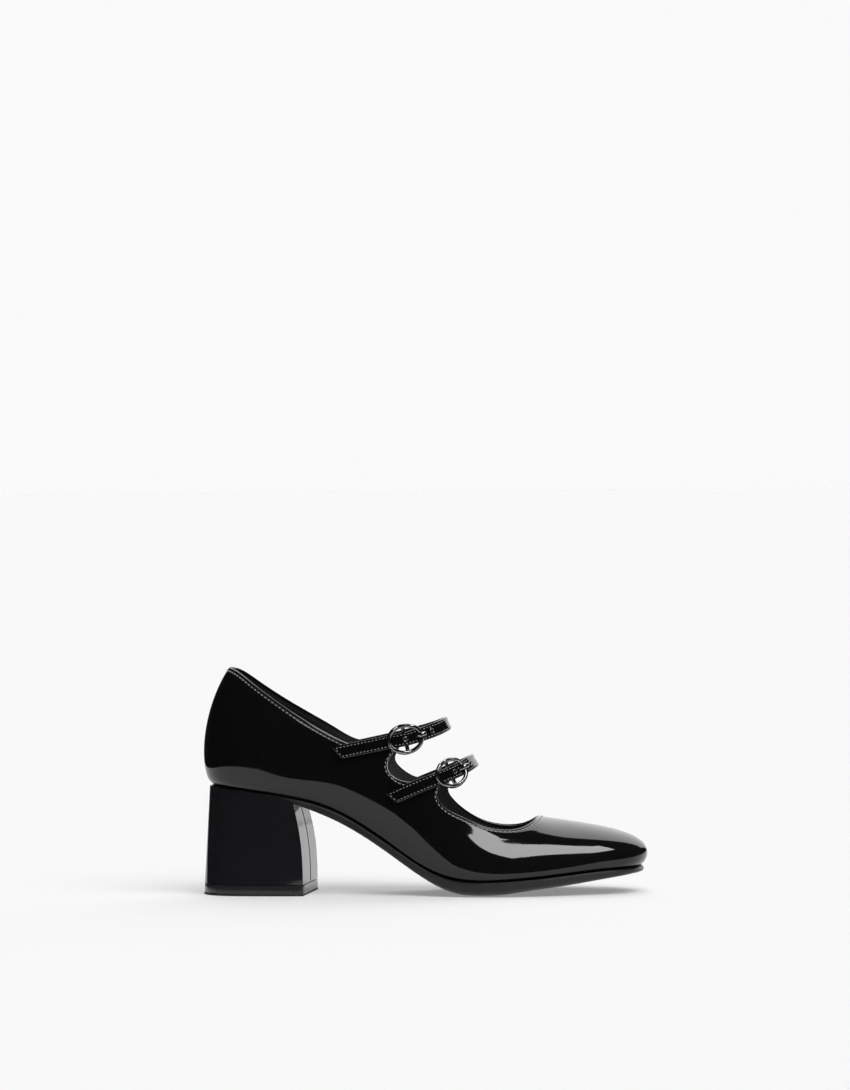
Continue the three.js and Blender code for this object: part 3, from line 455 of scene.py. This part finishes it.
insole = working_copy("insole", "sock")
squares_between(math.pi)
bpy.ops.object.shade_smooth()
finish_with(insole, "SUBSURF", levels=2, render_levels=2)
insole.data.materials.append(leather_lining("sock_leather", (0.013, 0.0115, 0.0118, 1)))
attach(insole, "root")
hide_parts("insole")

# ---- Outsole ----
# One thin moulded rubber sole from toe to heel seat, cemented on. Its edge is a satin, brownish black
# band with softly rounded corners, clouded a little as moulded rubber is, and its tread is plain.

SOLE_ROUNDING, SOLE_EDGE_BEND = 0.00025, math.radians(28)
SOLE_DARK, SOLE_LIGHT = (0.009, 0.0082, 0.0088, 1), (0.02, 0.0185, 0.0188, 1)

outsole = working_copy("outsole", "moulded_sole")
squares_between(math.pi)
bpy.ops.object.shade_smooth()
finish_with(outsole, "BEVEL", width=SOLE_ROUNDING, segments=2, limit_method="ANGLE",
            angle_limit=SOLE_EDGE_BEND)
finish_with(outsole, "SUBSURF", levels=2, render_levels=2)
bpy.ops.object.shade_smooth()

sole_rubber, sole_shader = new_finish("sole_rubber", Base_Color=SOLE_DARK, Roughness=0.36)
sole_where = node_of(sole_rubber, "ShaderNodeTexCoord").outputs["Object"]
sole_cloud = node_of(sole_rubber, "ShaderNodeTexNoise", Scale=120.0, Detail=6.0)
wire(sole_rubber, sole_where, sole_cloud.inputs["Vector"])
cloudy_colour(sole_rubber, sole_shader, sole_cloud.outputs["Fac"], SOLE_DARK, SOLE_LIGHT)
sole_dust = node_of(sole_rubber, "ShaderNodeMapRange", From_Min=0.3, From_Max=0.8, To_Min=0.3, To_Max=0.5)
wire(sole_rubber, sole_cloud.outputs["Fac"], sole_dust.inputs["Value"])
wire(sole_rubber, sole_dust.outputs["Result"], sole_shader.inputs["Roughness"])
outsole.data.materials.append(sole_rubber)
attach(outsole, "root")
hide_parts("outsole")

# ---- Heel ----
# A block heel covered in the same patent leather, and screwed on through the insole. The cover meets
# in a seam down the breast, and its top edge is rolled up into the joint under the sole.

HEEL_LIP, HEEL_ROUNDING = 0.0013, 0.0006
# A corner of the top edge has one face that looks up more than this, and one that looks up less.
TOP_FACES_UP, SIDE_FACES_UP = 0.6, 0.35
# Faces that meet at less than the first bend are one flat face, edges sharper than the second are
# rounded, and shading is smooth up to the third.
FLAT_BEND, CORNER_BEND, SMOOTH_BEND = math.radians(20), math.radians(35), math.radians(40)
BREAST_SEAM_Y, BREAST_SEAM_RADIUS, BREAST_SEAM_SUNK = 0.0012, 0.0003, 0.0001
BREAST_SEAM_FROM, BREAST_SEAM_SHORT, BREAST_SEAM_PLACES = 0.0004, 0.003, 30

heel = working_copy("heel", "covered_heel")
squares_between(FLAT_BEND)
heel_low, heel_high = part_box("heel")
lip = bmesh.new()
lip.from_mesh(heel.data)
lip.normal_update()
for corner in lip.verts:
    up = [face.normal.z for face in corner.link_faces]
    in_upper_half = corner.co.z > (heel_low.z + heel_high.z) / 2
    if in_upper_half and max(up) > TOP_FACES_UP and min(up) < SIDE_FACES_UP:
        corner.co.z += HEEL_LIP
lip.to_mesh(heel.data)
lip.free()
finish_with(heel, "BEVEL", width=HEEL_ROUNDING, segments=3, limit_method="ANGLE", angle_limit=CORNER_BEND)
bpy.ops.object.shade_smooth_by_angle(angle=SMOOTH_BEND)
finish_with(heel, "WEIGHTED_NORMAL", keep_sharp=True)
heel.data.materials.append(patent_finish("patent_heel", black=(0.0108, 0.0098, 0.0118, 1))[0])
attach(heel, "root")
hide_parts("heel")


def cord_along(name, places, radius, material):
    """A closed round cord through the places, as one mesh."""
    curve = bpy.data.curves.new(name, "CURVE")
    curve.dimensions = "3D"
    curve.bevel_depth = radius
    curve.bevel_resolution = 2
    curve.use_fill_caps = True
    line = curve.splines.new("POLY")
    line.points.add(len(places) - 1)
    for point, place in zip(line.points, places):
        point.co = (*place, 1)
    piece = bpy.data.objects.new(name, curve)
    bpy.context.collection.objects.link(piece)
    select_only(piece)
    bpy.ops.object.convert(target="MESH")
    piece = bpy.context.active_object
    bpy.ops.object.mode_set(mode="EDIT")
    bpy.ops.mesh.select_all(action="SELECT")
    bpy.ops.mesh.remove_doubles(threshold=1e-7)
    bpy.ops.mesh.normals_make_consistent(inside=False)
    bpy.ops.object.mode_set(mode="OBJECT")
    bpy.ops.object.shade_smooth()
    piece.data.materials.clear()
    piece.data.materials.append(material)
    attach(piece, "root")


seam_black = new_finish("seam_black", Base_Color=(0.004, 0.004, 0.004, 1), Roughness=0.6)[0]
heel_tree = tree_of(heel)
seam_height = heel_high.z - heel_low.z - BREAST_SEAM_SHORT
breast_seam = []
for step in range(BREAST_SEAM_PLACES):
    height = heel_low.z + BREAST_SEAM_FROM + seam_height * step / (BREAST_SEAM_PLACES - 1)
    hit = heel_tree.ray_cast(Vector((heel_high.x + 0.01, BREAST_SEAM_Y, height)), Vector((-1, 0, 0)))[0]
    if hit:
        breast_seam.append(hit - Vector((BREAST_SEAM_SUNK, 0, 0)))
cord_along("breast_seam", breast_seam, BREAST_SEAM_RADIUS, seam_black)

# ---- Top piece ----
# The hard rubber lift pinned under the heel. Its side is satin and a little gritty, with slanted ribs in
# the lowest millimetre and a row of fine teeth round the foot that grip the floor. The teeth are of the
# lift's own rubber, but coloured far darker as painted shade at the floor line.

LIFT_ROUNDING = 0.0003
# The heights where the ribs begin to fade and where they are gone.
RIBS_END, PLAIN_FROM, RIB_DEPTH = 0.0009, 0.0013, 0.0003
TOOTH_PITCH, TOOTH_WIDTH, TOOTH_HEIGHT, TOOTH_SUNK = 0.00105, 0.00055, 0.00094, 0.0002
# The heights between which the ring of corners round the foot lies.
FOOT_FROM, FOOT_TO = 0.0001, 0.0008

lift = working_copy("heel_top_piece", "rubber_top_piece")
squares_between(FLAT_BEND)
finish_with(lift, "BEVEL", width=LIFT_ROUNDING, segments=2, limit_method="ANGLE", angle_limit=CORNER_BEND)
bpy.ops.object.shade_smooth_by_angle(angle=SMOOTH_BEND)
lift_rubber, lift_shader = new_finish("lift_rubber", Base_Color=(0.019, 0.0165, 0.019, 1), Roughness=0.2)
lift_where = node_of(lift_rubber, "ShaderNodeTexCoord").outputs["Object"]
lift_split = node_of(lift_rubber, "ShaderNodeSeparateXYZ")
wire(lift_rubber, lift_where, lift_split.inputs["Vector"])
ribs = node_of(lift_rubber, "ShaderNodeTexWave", Scale=260.0)
ribs.bands_direction = "DIAGONAL"
wire(lift_rubber, lift_where, ribs.inputs["Vector"])
rib_zone = node_of(lift_rubber, "ShaderNodeMapRange", From_Min=RIBS_END, From_Max=PLAIN_FROM, To_Min=1.0,
                   To_Max=0.0)
wire(lift_rubber, lift_split.outputs["Z"], rib_zone.inputs["Value"])
rib_height = node_of(lift_rubber, "ShaderNodeMath")
rib_height.operation = "MULTIPLY"
wire(lift_rubber, ribs.outputs["Fac"], rib_height.inputs[0])
wire(lift_rubber, rib_zone.outputs["Result"], rib_height.inputs[1])
stack_bump(lift_rubber, lift_shader, rib_height.outputs["Value"], RIB_DEPTH)
grit = node_of(lift_rubber, "ShaderNodeTexNoise", Scale=1200.0, Detail=3.0)
wire(lift_rubber, lift_where, grit.inputs["Vector"])
stack_bump(lift_rubber, lift_shader, grit.outputs["Fac"], 0.00006, 0.5)
lift.data.materials.append(lift_rubber)
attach(lift, "root")
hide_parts("heel_top_piece")

lift_low, lift_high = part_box("heel_top_piece")
lift_middle = (lift_low + lift_high) / 2
foot_places = {tuple(round(c, 6) for c in v.co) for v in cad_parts["heel_top_piece"].data.vertices
               if FOOT_FROM < v.co.z < FOOT_TO}
foot_ring = [Vector(place) for place in sorted(
    foot_places, key=lambda place: math.atan2(place[1] - lift_middle.y, place[0] - lift_middle.x))]
# The teeth's near-black colour is painted shade where the lift meets the floor; their rubber is the lift's.
tooth_rubber_painted_shade = new_finish("tooth_rubber_painted_shade", Base_Color=(0.003, 0.003, 0.003, 1), Roughness=0.5)[0]
sew("top_piece_teeth", smooth_run(foot_ring, True, TOOTH_PITCH), tree_of(lift), length=TOOTH_WIDTH,
    width=TOOTH_HEIGHT, sunk=TOOTH_SUNK, finish=tooth_rubber_painted_shade, slot="top_piece")

# ---- Straps ----
# Two narrow straps of folded patent leather. Each is sewn to the outer and the inner quarter and runs
# over the instep through its buckle, stitched close to both edges and punched for the prong.

# The straps' rough middle lines in millimetres from the heel's back, outer quarter first. The exact
# line is found from the plain straps, by cuts across them at short steps.
STRAP_LINES = {
    "rear": [
        (74.6, -29, 75.9), (84, -30, 77.9), (94, -30.5, 79.8), (103.2, -30, 81.6), (111, -29.6, 83.1),
        (119.2, -26.6, 85.3), (126.7, -19.5, 87.8), (130.2, -9.5, 89.3), (131, 1, 89.8), (129.4, 11.5, 89.2),
        (124.4, 20.5, 87.1), (116.3, 27, 84.5), (108.6, 29.8, 82.4), (100, 30, 80.4), (90, 29.5, 78.2),
        (80, 29, 76), (72, 28.5, 74.2),
    ],
    "front": [
        (103.6, -32.5, 52), (112, -33, 55.6), (120.4, -33, 59), (127.6, -32.5, 61.9), (135, -28.2, 64.9),
        (140.9, -21, 67.5), (144.2, -11, 69.4), (145.1, 0.5, 70), (143.8, 12, 69.3), (139.9, 21.6, 67.2),
        (133.6, 28.4, 64.5), (126.6, 31.8, 61.6), (118.6, 32.2, 58.4), (110.4, 32, 54.9),
        (102.6, 31.5, 51.3),
    ],
}
HEEL_BACK = Vector((-0.118154, 0.002385, 0))
# The cuts' spacing and reach, the fewest spots that make a cut, and the width that a whole one has.
CUT_STEP, CUT_REACH, CUT_SPOTS, FULL_CUT = 0.0012, 0.009, 8, 0.0072
# A strap's outer face looks away from a place this far back and down, on the shoe's middle.
TO_FOOT, MIDDLE_Y = Vector((-0.03, 0, -0.045)), 0.002

# The section in millimetres, w towards the upper edge and h off the outer face. The upper edge is
# turned over tightly and the lower one more loosely.
UPPER_EDGE = [
    (0, 0.0), (1.5, 0.0), (3.1, -0.01), (3.4, -0.06), (3.6, -0.2), (3.69, -0.42), (3.7, -0.8),
    (3.68, -1.2), (3.58, -1.42), (3.36, -1.55), (3.05, -1.6), (1.5, -1.6),
]
LOWER_EDGE = [
    (0, -1.6), (-1.5, -1.6), (-3.05, -1.6), (-3.36, -1.55), (-3.6, -1.4), (-3.7, -1.1), (-3.68, -0.8),
    (-3.56, -0.54), (-3.36, -0.31), (-3.1, -0.14), (-2.84, -0.05), (-1.5, 0.0),
]
SECTION = UPPER_EDGE + LOWER_EDGE
HALF_WIDTH, HALF_THICKNESS = 3.7, 0.8
# Millimetres again: the ends' rounded corners, the length that their edge is pressed thin over, how far
# the ends slant for each millimetre of width, and the length over which the slant dies out.
CORNER, PRESSED, SLANT, SLANT_DIES = 0.9, 0.4, 0.55, 14
RING_STEP = 1.2
END_RINGS = [0.0, 0.08, 0.26, 0.55, CORNER]

patent_strap = patent_finish("patent_strap", black=(0.004, 0.004, 0.0045, 1))[0]


def strap_stations(place):
    """Distance in millimetres, outer face, outward side, heading and upward side, from cut to cut."""
    plain = working_copy(f"strap_{place}", f"plain_strap_{place}")
    tree = tree_of(plain)
    corners = [v.co.copy() for v in plain.data.vertices]
    sides = [(corners[edge.vertices[0]], corners[edge.vertices[1]]) for edge in plain.data.edges]
    cuts = []
    rough_line = [HEEL_BACK + Vector(p) / 1000 for p in STRAP_LINES[place]]
    for point, direction in smooth_run(rough_line, False, CUT_STEP):
        flat = direction.orthogonal().normalized()
        steep = direction.cross(flat)
        spots = []
        for a, b in sides:
            from_a, from_b = (a - point).dot(direction), (b - point).dot(direction)
            if from_a * from_b < 0:
                spot = a.lerp(b, from_a / (from_a - from_b)) - point
                if spot.length < CUT_REACH:
                    spots.append((spot.dot(flat), spot.dot(steep)))
        if len(spots) < CUT_SPOTS:
            continue
        mean_x = sum(q[0] for q in spots) / len(spots)
        mean_y = sum(q[1] for q in spots) / len(spots)
        xx = sum((q[0] - mean_x) ** 2 for q in spots)
        yy = sum((q[1] - mean_y) ** 2 for q in spots)
        xy = sum((q[0] - mean_x) * (q[1] - mean_y) for q in spots)
        turn = 0.5 * math.atan2(2 * xy, xx - yy)
        wide, thin = (math.cos(turn), math.sin(turn)), (-math.sin(turn), math.cos(turn))
        w = [q[0] * wide[0] + q[1] * wide[1] for q in spots]
        n = [q[0] * thin[0] + q[1] * thin[1] for q in spots]
        if max(w) - min(w) < FULL_CUT:
            continue
        sideways, through = flat * wide[0] + steep * wide[1], flat * thin[0] + steep * thin[1]
        centre = point + sideways * ((max(w) + min(w)) / 2) + through * ((max(n) + min(n)) / 2)
        inside = Vector((point.x, MIDDLE_Y, point.z)) + TO_FOOT
        cuts.append([centre, through if through.dot(point - inside) >= 0 else -through])
    bpy.data.objects.remove(plain)
    for _ in range(3):
        threes = zip(cuts, cuts[1:], cuts[2:])
        cuts[1:-1] = [[(a[k] + b[k] * 2 + c[k]) / 4 for k in (0, 1)] for a, b, c in threes]
    ends = []
    for cut, beside in ((cuts[0], cuts[1]), (cuts[-1], cuts[-2])):
        heading = (cut[0] - beside[0]).normalized()
        ends.append([tree.ray_cast(cut[0] + heading * 1e-5, heading)[0], cut[1].copy()])
    cuts = [ends[0], *cuts, ends[1]]
    stations = []
    gone = 0.0
    for k, (centre, outward) in enumerate(cuts):
        before, after = cuts[max(k - 1, 0)][0], cuts[min(k + 1, len(cuts) - 1)][0]
        heading = (after - before).normalized()
        outward = (outward - heading * outward.dot(heading)).normalized()
        gone += (centre - before).length * 1000
        face = centre + outward * HALF_THICKNESS / 1000
        stations.append((gone, face, outward, heading, outward.cross(heading)))
    return stations


def on_strap(stations, s, w, h):
    """The place s millimetres along a strap, w towards its upper edge and h off its outer face."""
    k = min(max(bisect([station[0] for station in stations], s) - 1, 0), len(stations) - 2)
    a, b = stations[k], stations[k + 1]
    share = (s - a[0]) / (b[0] - a[0])
    across, outward = a[4].lerp(b[4], share), a[2].lerp(b[2], share)
    return a[1].lerp(b[1], share) + (across * w + outward * h) / 1000


def slanted(s, w, length):
    """Moves s with w near the ends, which are cut at a slant."""
    start, end = max(0, 1 - s / SLANT_DIES), max(0, 1 - (length - s) / SLANT_DIES)
    return s + w * SLANT * (end - start)


straps, strap_lines = {}, {}
for place in STRAP_LINES:
    stations = strap_stations(place)
    strap_lines[place] = stations
    length = stations[-1][0]
    even_rings = round((length - 2 * CORNER) / RING_STEP)
    rings = END_RINGS + [CORNER + (length - 2 * CORNER) * k / even_rings for k in range(1, even_rings)]
    rings += [length - d for d in END_RINGS[::-1]]
    vertices = []
    for s in rings:
        near = min(s, length - s)
        narrow = CORNER - math.sqrt(max(CORNER ** 2 - max(CORNER - near, 0) ** 2, 0))
        thin = 1 - 0.5 * max(1 - near / PRESSED, 0) ** 2
        for w, h in SECTION:
            w *= 1 - narrow / HALF_WIDTH
            h = (h + HALF_THICKNESS) * thin - HALF_THICKNESS
            vertices.append(on_strap(stations, slanted(s, w, length), w, h))
    turns = len(SECTION)
    faces = [tuple(range(turns)), tuple(range(len(vertices) - 1, len(vertices) - turns - 1, -1))]
    for ring in range(len(rings) - 1):
        for k in range(turns):
            a, b = ring * turns + k, ring * turns + (k + 1) % turns
            faces.append((a, a + turns, b + turns, b))
    mesh = bpy.data.meshes.new(f"patent_strap_{place}")
    mesh.from_pydata(vertices, [], faces)
    strap = bpy.data.objects.new(f"patent_strap_{place}", mesh)
    bpy.context.collection.objects.link(strap)
    select_only(strap)
    bpy.ops.object.mode_set(mode="EDIT")
    bpy.ops.mesh.select_all(action="SELECT")
    bpy.ops.mesh.normals_make_consistent(inside=False)
    bpy.ops.object.mode_set(mode="OBJECT")
    bpy.ops.object.shade_smooth_by_angle(angle=math.radians(60))
    finish_with(strap, "WEIGHTED_NORMAL", keep_sharp=True)
    strap.data.materials.append(patent_strap)
    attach(strap, "root")
    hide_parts(f"strap_{place}")
    straps[place] = strap

# ---- Buckles and prongs ----
# A small oval ring of gunmetal with a bar across its middle, and a flat tongue that swings on the bar
# and goes through the strap. Smoothing draws their coarse meshes in, so they are fattened first.

FATTENED = 0.00045

gunmetal, metal_shader = new_finish("gunmetal", Base_Color=(0.3, 0.29, 0.29, 1), Roughness=0.16, Metallic=1.0)
metal_where = node_of(gunmetal, "ShaderNodeTexCoord").outputs["Object"]
scuff = node_of(gunmetal, "ShaderNodeTexNoise", Scale=500.0, Detail=5.0)
wire(gunmetal, metal_where, scuff.inputs["Vector"])
polish = node_of(gunmetal, "ShaderNodeMapRange", From_Min=0.35, From_Max=0.75, To_Min=0.09, To_Max=0.22)
wire(gunmetal, scuff.outputs["Fac"], polish.inputs["Value"])
wire(gunmetal, polish.outputs["Result"], metal_shader.inputs["Roughness"])
stack_bump(gunmetal, metal_shader, scuff.outputs["Fac"], 0.00002, 0.4)

for place in STRAP_LINES:
    for node, name in (("buckle", "oval_buckle"), ("prong", "buckle_tongue")):
        metal = working_copy(f"{node}_{place}", f"{name}_{place}")
        squares_between(math.pi)
        bpy.ops.object.mode_set(mode="EDIT")
        bpy.ops.mesh.select_all(action="SELECT")
        bpy.ops.transform.shrink_fatten(value=FATTENED)
        bpy.ops.object.mode_set(mode="OBJECT")
        finish_with(metal, "SUBSURF", levels=2, render_levels=2)
        bpy.ops.object.shade_smooth()
        metal.data.materials.append(gunmetal)
        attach(metal, "root")
        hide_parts(f"{node}_{place}")

# ---- Stitching and holes of the straps ----
# Thread runs 1.3 mm inside both edges and across the sewn ends, in shorter and finer stitches than on
# the upper. Each strap is punched under its buckle and once more beyond it, with a metal rim. The black
# disc sunk in each hole is painted shade for the hole's dark depth.

EDGE_THREAD, END_THREAD = 2.39, 1.1
EDGE_PLACES = 60
STRAP_PITCH = STITCH_PITCH * 0.8
STRAP_STITCH = {"length": STITCH_LENGTH * 0.7, "width": STITCH_WIDTH * 0.68}
# Where the buckle's bar lies, in millimetres from the heel's back, and the holes' distances beyond it.
PUNCHED = {"rear": (111.0, (0.5, 16.4)), "front": (135.0, (2.5, 18.0))}
RIM_RADIUS, RIM_WIRE = 0.00118, 0.0003
HOLE_RADIUS, HOLE_DEPTH, HOLE_SUNK = 0.00105, 0.0004, 0.00012

# A black disc sunk in each punched hole is painted shade, standing for the hole's dark depth.
hole_painted_shade = new_finish("hole_painted_shade", Base_Color=(0.002, 0.002, 0.002, 1), Roughness=0.7)[0]


def set_into(piece, name, place, normal, material):
    """Turns a new primitive to face along a normal at its place on a strap, and finishes it."""
    piece.name = name
    piece.matrix_world = Matrix.Translation(place) @ normal.to_track_quat("Z", "Y").to_matrix().to_4x4()
    bpy.ops.object.transform_apply(location=True, rotation=True, scale=True)
    piece.data.materials.append(material)
    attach(piece, "root")


for place, stations in strap_lines.items():
    tree = tree_of(straps[place])
    length = stations[-1][0]
    paths = {}
    for w, label in ((EDGE_THREAD, "upper"), (-EDGE_THREAD, "lower")):
        spread = [END_THREAD + (length - 2 * END_THREAD) * k / EDGE_PLACES for k in range(EDGE_PLACES + 1)]
        paths[label] = [on_strap(stations, slanted(s, w, length), w, -0.1) for s in spread]
    for s, label in ((END_THREAD, "outer_end"), (length - END_THREAD, "inner_end")):
        paths[label] = [on_strap(stations, slanted(s, w, length), w, 0.1) for w in (-2, -1, 0, 1, 2)]
    for label, path in paths.items():
        sew(f"strap_stitching_{place}_{label}", smooth_run(path, False, STRAP_PITCH), tree, **STRAP_STITCH)
    bar_x, beyond = PUNCHED[place]
    outer_half = [station for station in stations if station[1].y < MIDDLE_Y]
    at_bar = min(outer_half, key=lambda station: abs(station[1].x - HEEL_BACK.x - bar_x / 1000))[0]
    for number, distance in enumerate(beyond):
        spot, normal, _, _ = tree.find_nearest(on_strap(stations, at_bar + distance, 0, 0.3))
        bpy.ops.object.select_all(action="DESELECT")
        bpy.ops.mesh.primitive_torus_add(major_radius=RIM_RADIUS, minor_radius=RIM_WIRE, major_segments=28,
                                         minor_segments=8)
        bpy.ops.object.shade_smooth()
        set_into(bpy.context.active_object, f"hole_rim_{place}_{number}", spot, normal, gunmetal)
        bpy.ops.object.select_all(action="DESELECT")
        bpy.ops.mesh.primitive_cylinder_add(vertices=24, radius=HOLE_RADIUS, depth=HOLE_DEPTH)
        set_into(bpy.context.active_object, f"hole_{place}_{number}", spot - normal * HOLE_SUNK, normal,
                 hole_painted_shade)

# ---- Floor ----
# A plain white studio floor that the shoe stands on. It glows a little of itself, so that the shoe's
# shadow stays pale. Only the lit part of it shows in the lacquer, and the rest is there for the eye.

FLOOR_END = 30
# The lit part's corners, from the far left one, round the near side, to the far right one.
LIT_FLOOR = [
    (-0.46, FLOOR_END), (-0.46, -0.25), (-0.17, -0.245), (-0.1, -0.195), (-0.04, -0.14), (0.0, -0.122),
    (0.05, -0.135), (0.2, -0.3), (FLOOR_END, -0.3), (FLOOR_END, FLOOR_END),
]
NEAR_LEFT, ROUNDED_CORNER = 1, 0.2
BELOW_LIT_FLOOR = 0.00001

floor_white = new_finish("floor_white", Base_Color=(0.565, 0.565, 0.565, 1), Roughness=0.9,
                         Emission_Color=(1, 1, 1, 1), Emission_Strength=0.25, Specular_IOR_Level=0.0)[0]
bpy.ops.object.select_all(action="DESELECT")
bpy.ops.mesh.primitive_plane_add(size=2 * FLOOR_END, location=(0, 0, -BELOW_LIT_FLOOR))
far_floor = bpy.context.active_object
far_floor.name = "studio_floor"
far_floor.visible_glossy = False
far_floor.visible_diffuse = False
floor_mesh = bpy.data.meshes.new("lit_floor")
floor_mesh.from_pydata([(x, y, 0) for x, y in LIT_FLOOR], [], [tuple(range(len(LIT_FLOOR)))])
lit_floor = bpy.data.objects.new("lit_floor", floor_mesh)
bpy.context.collection.objects.link(lit_floor)
select_only(lit_floor)
bpy.ops.object.mode_set(mode="EDIT")
bpy.ops.mesh.select_all(action="DESELECT")
floor_corners = bmesh.from_edit_mesh(floor_mesh).verts
floor_corners.ensure_lookup_table()
floor_corners[NEAR_LEFT].select = True
bpy.ops.mesh.bevel(affect="VERTICES", offset=ROUNDED_CORNER, segments=12)
bpy.ops.mesh.select_all(action="SELECT")
bpy.ops.mesh.normals_make_consistent(inside=False)
bpy.ops.object.mode_set(mode="OBJECT")
for ground in (far_floor, lit_floor):
    ground.data.materials.append(floor_white)

# ---- Studio light ----
# A lit backdrop behind the shoe and a dark room on the near side, a soft sun from above for the floor
# and a long overhead softbox in front that shows as the bright patch on the vamp.

# The backdrop is a window of light, seen from the shoe. Its right side leans one way low down and
# another higher up, its left side leans once, its edges are soft, and it is brighter higher up.
RIGHT_LOW, RIGHT_HIGH, LEFT_SIDE = (0.24, 1.2), 0.82, (0.4, 0.2)
SOFT_SIDE, SOFT_NEAR_END = (-0.02, 0.03), (-0.05, 0.01)
BRIGHTER_UP, ROOM_GLOW = 2.5, 0.02
# What the camera itself sees behind the shoe.
SEEN_WHITE = 0.955
SOFTBOX_LENGTH, SOFTBOX_WIDTH, SOFTBOX_GLOW = 1.82, 0.44, 9.0

world = bpy.data.worlds.new("studio")
bpy.context.scene.world = world
world.use_nodes = True
nodes, links = world.node_tree.nodes, world.node_tree.links
nodes.clear()
axes = nodes.new("ShaderNodeSeparateXYZ")
links.new(nodes.new("ShaderNodeTexCoord").outputs["Generated"], axes.inputs["Vector"])


def world_math(kind, a, b):
    step = nodes.new("ShaderNodeMath")
    step.operation = kind
    for socket, value in zip(step.inputs, (a, b)):
        if isinstance(value, (int, float)):
            socket.default_value = value
        else:
            links.new(value, socket)
    return step.outputs["Value"]


def world_edge(value, start, end):
    """Rises from 0 to 1 as the value goes from start to end."""
    ramp = nodes.new("ShaderNodeMapRange")
    ramp.interpolation_type = "SMOOTHSTEP"
    ramp.inputs["From Min"].default_value = start
    ramp.inputs["From Max"].default_value = end
    links.new(value, ramp.inputs["Value"])
    return ramp.outputs["Result"]


def leaning(by_depth, by_height):
    """A slanted side of the backdrop: so much for each unit of depth and of height."""
    return world_math("ADD", world_math("MULTIPLY", y, by_depth), world_math("MULTIPLY", z, by_height))


x, y, z = axes.outputs
right_side = world_math("MINIMUM", leaning(*RIGHT_LOW), world_math("MULTIPLY", y, RIGHT_HIGH))
window = world_math("MULTIPLY", world_edge(world_math("SUBTRACT", right_side, x), *SOFT_SIDE),
                    world_edge(world_math("ADD", leaning(*LEFT_SIDE), x), *SOFT_SIDE))
window = world_math("MULTIPLY", window, world_edge(y, *SOFT_NEAR_END))
rise = world_math("MULTIPLY", world_math("MAXIMUM", z, 0), BRIGHTER_UP)
backdrop = world_math("MULTIPLY", window, world_math("ADD", rise, 1.0))
around = nodes.new("ShaderNodeBackground")
links.new(world_math("ADD", backdrop, ROOM_GLOW), around.inputs["Strength"])
seen = nodes.new("ShaderNodeBackground")
seen.inputs["Color"].default_value = (SEEN_WHITE, SEEN_WHITE, SEEN_WHITE, 1)
rays = nodes.new("ShaderNodeLightPath")
either = nodes.new("ShaderNodeMixShader")
links.new(rays.outputs["Is Camera Ray"], either.inputs["Fac"])
links.new(around.outputs["Background"], either.inputs[1])
links.new(seen.outputs["Background"], either.inputs[2])
out = nodes.new("ShaderNodeOutputWorld")
links.new(either.outputs["Shader"], out.inputs["Surface"])

sun_data = bpy.data.lights.new("soft_sun", "SUN")
sun_data.energy = 2.85
sun_data.angle = math.radians(56)
sun = bpy.data.objects.new("soft_sun", sun_data)
bpy.context.collection.objects.link(sun)
sun.rotation_euler = (math.radians(28), math.radians(20), 0)
sun.visible_glossy = False

box_data = bpy.data.lights.new("overhead_softbox", "AREA")
box_data.shape = "RECTANGLE"
box_data.size, box_data.size_y = SOFTBOX_LENGTH, SOFTBOX_WIDTH
box_data.energy = SOFTBOX_GLOW * SOFTBOX_LENGTH * SOFTBOX_WIDTH * math.pi
box = bpy.data.objects.new("overhead_softbox", box_data)
bpy.context.collection.objects.link(box)
box.location = (0.46, -1.19, 1.4)
box.rotation_euler = (0, 0, math.radians(74))
box.visible_camera = False
box.visible_diffuse = False

# ---- Camera ----
# A long lens 3 m off, level with the shoe and a little ahead of its side. It is turned slightly about
# its axis, and it sees the shoe with almost no perspective.

AZIMUTH, ELEVATION, ROLL = math.radians(5.0), math.radians(0.95), math.radians(0.6)
AIM, DISTANCE = Vector((0.00177, 0.00239, 0.18482)), 3.0
LENS = 186.24

camera_data = bpy.data.cameras.new("camera")
camera_data.lens = LENS
camera_data.sensor_width = 36
camera_data.clip_end = 100
camera = bpy.data.objects.new("camera", camera_data)
bpy.context.collection.objects.link(camera)
level = Vector((math.cos(AZIMUTH), math.sin(AZIMUTH), 0))
aside = Vector((math.sin(AZIMUTH), -math.cos(AZIMUTH), 0))
backward = aside * math.cos(ELEVATION) + Vector((0, 0, math.sin(ELEVATION)))
upright = backward.cross(level)
right = level * math.cos(ROLL) - upright * math.sin(ROLL)
top = level * math.sin(ROLL) + upright * math.cos(ROLL)
turned = Matrix((right, top, backward)).transposed().to_4x4()
camera.matrix_world = Matrix.Translation(AIM + backward * DISTANCE) @ turned
bpy.context.scene.camera = camera
bpy.context.scene.view_settings.view_transform = "Standard"
